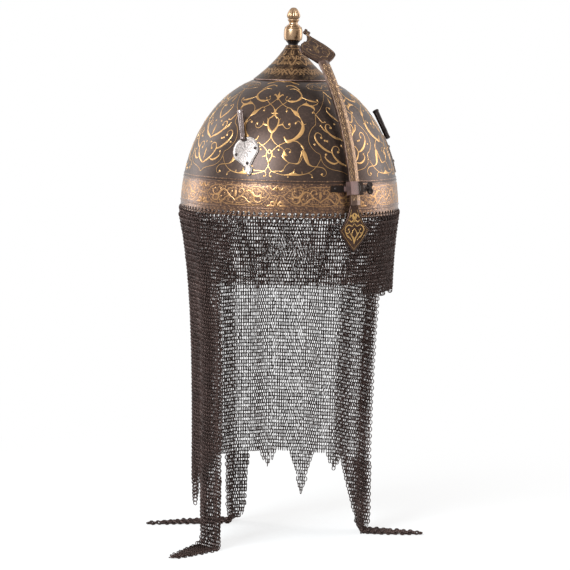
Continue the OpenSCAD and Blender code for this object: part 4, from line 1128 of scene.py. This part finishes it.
def ring_grid(low, high, s_from, s_to):
    """(angle, s, row) of every ring between two angles and two lengths."""
    first = int(math.ceil((s_from + FIRST_Z) / ROW_PITCH - 1e-6))
    found = []
    for row in range(max(1, first), int((s_to + FIRST_Z) / ROW_PITCH) + 1):
        shift = 0.5 * ((row + 1) % 2)
        i = np.arange(math.ceil(low / PITCH_DEG - shift - 1e-6),
                      math.floor((high - 1e-3) / PITCH_DEG - shift + 1e-6) + 1)
        found.append(np.c_[(i + shift) * PITCH_DEG, np.full((len(i), 2), (row * ROW_PITCH - FIRST_Z, row))])
    return np.vstack(found)


def rings(name, nodes, grid, place, turn=RING_TURN, wire=WIRE, size=RING_R, loose=1.0, major=12, minor=4):
    """A ring of wire at each point of the grid: alternate rows turn opposite ways about the way down.

    loose is 1 for rings that differ a little from one another, and 0 for rings that are all alike.
    """
    a, s, row = grid.T
    near = 0.4
    centre = place(a, s)
    across = place(a + near, s) - place(a - near, s)
    down = place(a, s + near) - place(a, s - near)
    across /= np.linalg.norm(across, axis=1)[:, None]
    down -= across * (across * down).sum(1)[:, None]
    down /= np.linalg.norm(down, axis=1)[:, None]
    normal = np.cross(down, across)
    n = len(a)
    turn = turn + loose * (LYING_TURN - turn) * normal[:, 2] ** 2
    turn = rad(np.where(row % 2 == 0, turn, -turn) + loose * rng.normal(0, TURN_NOISE, n))
    sway = rad(loose * rng.normal(0, SWAY_NOISE, n))
    flat = across * np.cos(turn)[:, None] + normal * np.sin(turn)[:, None]
    face = np.cross(down, flat)
    long = down * np.cos(sway)[:, None] + face * np.sin(sway)[:, None]
    face = np.cross(long, flat)
    centre = centre + loose * rng.normal(0, PLACE_NOISE, (n, 3))
    r = size * (1 + loose * rng.normal(0, SIZE_NOISE, n))
    t, u = around(major) + np.pi / major, around(minor) + np.pi / 4
    spoke = flat[:, None] * np.cos(t)[None, :, None] + long[:, None] * np.sin(t)[None, :, None]
    half = wire * 0.5 * (1 + loose * rng.normal(0, WIRE_NOISE, n))[:, None, None]
    points = (centre[:, None, None] + spoke[:, :, None] * (r[:, None, None] + half * np.cos(u))[..., None]
              + face[:, None, None] * (half * np.sin(u) * np.ones((1, major, 1)))[..., None])
    faces = grid_faces(major, minor, True)[None] + (np.arange(n) * major * minor)[:, None, None]
    shape = Shape()
    shape.put(points, faces.reshape(-1, 4))
    shape.make(name, MAIL, slot="mail", replaces=nodes, sharp=180)


def hang(name, node, grid, place, **look):
    """The rings of one panel, in pieces of at most MOST_RINGS rings from the top down."""
    ending, nodes = "_rings", (node,)
    for k, part in enumerate(np.array_split(grid, math.ceil(len(grid) / MOST_RINGS))):
        rings(name + ending, nodes, part, place, **look)
        ending, nodes = f"_rings_{k + 2}", ()


def mail():
    def below_rim(angle, s):
        return RIM_MID * out(angle) - rise(s)

    for name, z, row, turn in (("rim_links", RIM_LINK_Z, 1, HANGING_TURN), ("first_row_links", FIRST_Z, 0, ROW_TURN)):
        grid = np.c_[(np.arange(LINKS) + 0.5 * (row == 0)) * LINK_DEG, np.full((LINKS, 2), (-z, row))]
        rings(name + "_wire", (name,), grid, below_rim, turn, LINK_WIRE, LINK_R, 0.0, 24, 8)
    veil = ring_grid(-VEIL_EDGE, VEIL_EDGE, 3, VEIL_L)
    hang("mail_veil", "mail_front_veil", veil[veil[:, 1] <= veil_end(veil[:, 0])], curtain_point)
    for name, low, high, node in (("right", -NAPE_EDGE, -VEIL_EDGE, "mail_right_side"),
                                  ("left", VEIL_EDGE, NAPE_EDGE, "mail_left_side"),
                                  ("nape", NAPE_EDGE, 360 - NAPE_EDGE, "mail_nape")):
        grid = ring_grid(low, high, 3, CURTAIN_L + MIDDLE_POINT + 2)
        hang(f"mail_{name}", node, grid[grid[:, 1] <= curtain_end(grid[:, 0]) - 2.0], curtain_point)
    for name, at, half, lie, yaw, waist, lead in (("right", -90.0, 5 * COLUMN, 57, 24, 0.6, 1),
                                                  ("left", 90.0, 5 * COLUMN, 60, -41, 0.5, -1),
                                                  ("back", 180.0, 3 * COLUMN, 86, 74, 0.75, 0)):
        place, inside, end = lying_point(at, half, lie, yaw, waist, lead)
        grid = ring_grid(at - half - 1, at + half + 1, CURTAIN_L - 2.0, end - 2.5)
        grid = grid[(grid[:, 1] > CURTAIN_L - 2.0) & inside(grid[:, 0], grid[:, 1])]
        hang(f"mail_{name}_point", f"mail_{name}_point", grid, place, turn=POINT_TURN, wire=POINT_WIRE)


skull()
brow_band()
apex_plate()
finial()
bowl_ornament()
# The wearer's left tube gets black iron, painted shade standing in for the shade it is seen in; the wearer's right
# tube keeps the lit tube_iron look
plume(-1, "right", TUBE_IRON)
plume(1, "left", IRON)
nasal_bar()
bar_inlay()
leaves()
clamp_screw()
bracket()
mail()


# ---------------------------------------------------------------- floor, light and camera


def surroundings():
    """A world that is white to the eye and lights the part less, and a floor that fades into it."""
    n = Nodes(bpy.data.worlds.new("studio"))
    bpy.context.scene.world = n.owner
    ambient = n.feed(n.tree.nodes["Background"], Color=(1, 0.985, 0.97), Strength=0.4)
    n.show("World Output", n.is_seen(), ambient, n.add("Background", Color=(1, 1, 1), Strength=1.0))

    mesh = bpy.data.meshes.new("floor")
    size = 4.0
    mesh.from_pydata([(-size, -size, 0), (size, -size, 0), (size, size, 0), (-size, size, 0)], [], [(0, 1, 2, 3)])
    floor = bpy.data.objects.new("floor", mesh)
    floor.location.z = -TABLE * MM
    bpy.context.scene.collection.objects.link(floor)
    n = Look("pale_floor")
    n.feed(n.shader, Base_Color=(0.86, 0.85, 0.84), Roughness=0.8)
    away = n.add("VectorMath", {"operation": "LENGTH"}, i0=n.place).outputs["Value"]
    fade = n.add("MapRange", {"interpolation_type": "SMOOTHSTEP"}, Value=away, From_Min=0.12, From_Max=0.62,
                 To_Min=0.72, To_Max=1.0)
    share = n.add("Math", {"operation": "MULTIPLY"}, i0=n.is_seen(), i1=fade.outputs["Result"])
    n.show("Material Output", share.outputs[0], n.shader, n.add("Emission", Strength=1.0))
    mesh.materials.append(n.owner)


def direction(azimuth, elevation):
    a, e = math.radians(azimuth), math.radians(elevation)
    return Vector((math.sin(a) * math.cos(e), -math.cos(a) * math.cos(e), math.sin(e)))


LAMP_AIM = Vector((0, 0, 0.03))


def lamp(name, azimuth, elevation, distance, size, watts, colour=(1, 1, 1)):
    light = bpy.data.lights.new(name, "AREA")
    light.shape, light.size, light.size_y = "RECTANGLE", *size
    light.energy, light.color = watts, colour
    obj = bpy.data.objects.new(name, light)
    way = direction(azimuth, elevation)
    obj.location = LAMP_AIM + way * distance
    obj.rotation_euler = way.to_track_quat("Z", "Y").to_euler()
    bpy.context.scene.collection.objects.link(obj)


# The photo's view, and the metres that one of its pixels spans at the part
VIEW_AZIMUTH, VIEW_DISTANCE, VIEW_HEIGHT, AIM_Z, ROLL, SHIFT = -33.0, 2.4, 0.19, -0.0747, 1.27, 0.00256
SENSOR, PIXELS, PIXEL_SIZE = 36, 570, 0.0009724


def camera():
    data = bpy.data.cameras.new("camera")
    data.sensor_width, data.lens = SENSOR, SENSOR * VIEW_DISTANCE / (PIXELS * PIXEL_SIZE)
    data.clip_start, data.clip_end = 0.1, 50
    obj = bpy.data.objects.new("camera", data)
    ahead = direction(VIEW_AZIMUTH, 0)
    shift = Vector((0, 0, 1)).cross(ahead).normalized() * SHIFT
    obj.location = ahead * VIEW_DISTANCE + Vector((0, 0, VIEW_HEIGHT)) - shift
    look = (obj.location - (Vector((0, 0, AIM_Z)) - shift)).to_track_quat("Z", "Y")
    obj.rotation_euler = (look.to_matrix() @ Matrix.Rotation(math.radians(ROLL), 3, "Z")).to_euler()
    bpy.context.scene.collection.objects.link(obj)
    bpy.context.scene.camera = obj


surroundings()
lamp("key", VIEW_AZIMUTH - 36, 28, 1.7, (0.68, 0.68), 44, (0.85, 0.94, 1))
lamp("left", VIEW_AZIMUTH - 118, 15, 1.8, (0.8, 1.6), 16)
lamp("right", VIEW_AZIMUTH + 108, 20, 1.7, (0.8, 1.6), 20)
lamp("top", VIEW_AZIMUTH + 10, 75, 1.8, (0.9, 0.9), 2)
camera()
bpy.context.scene.view_settings.view_transform = "Standard"
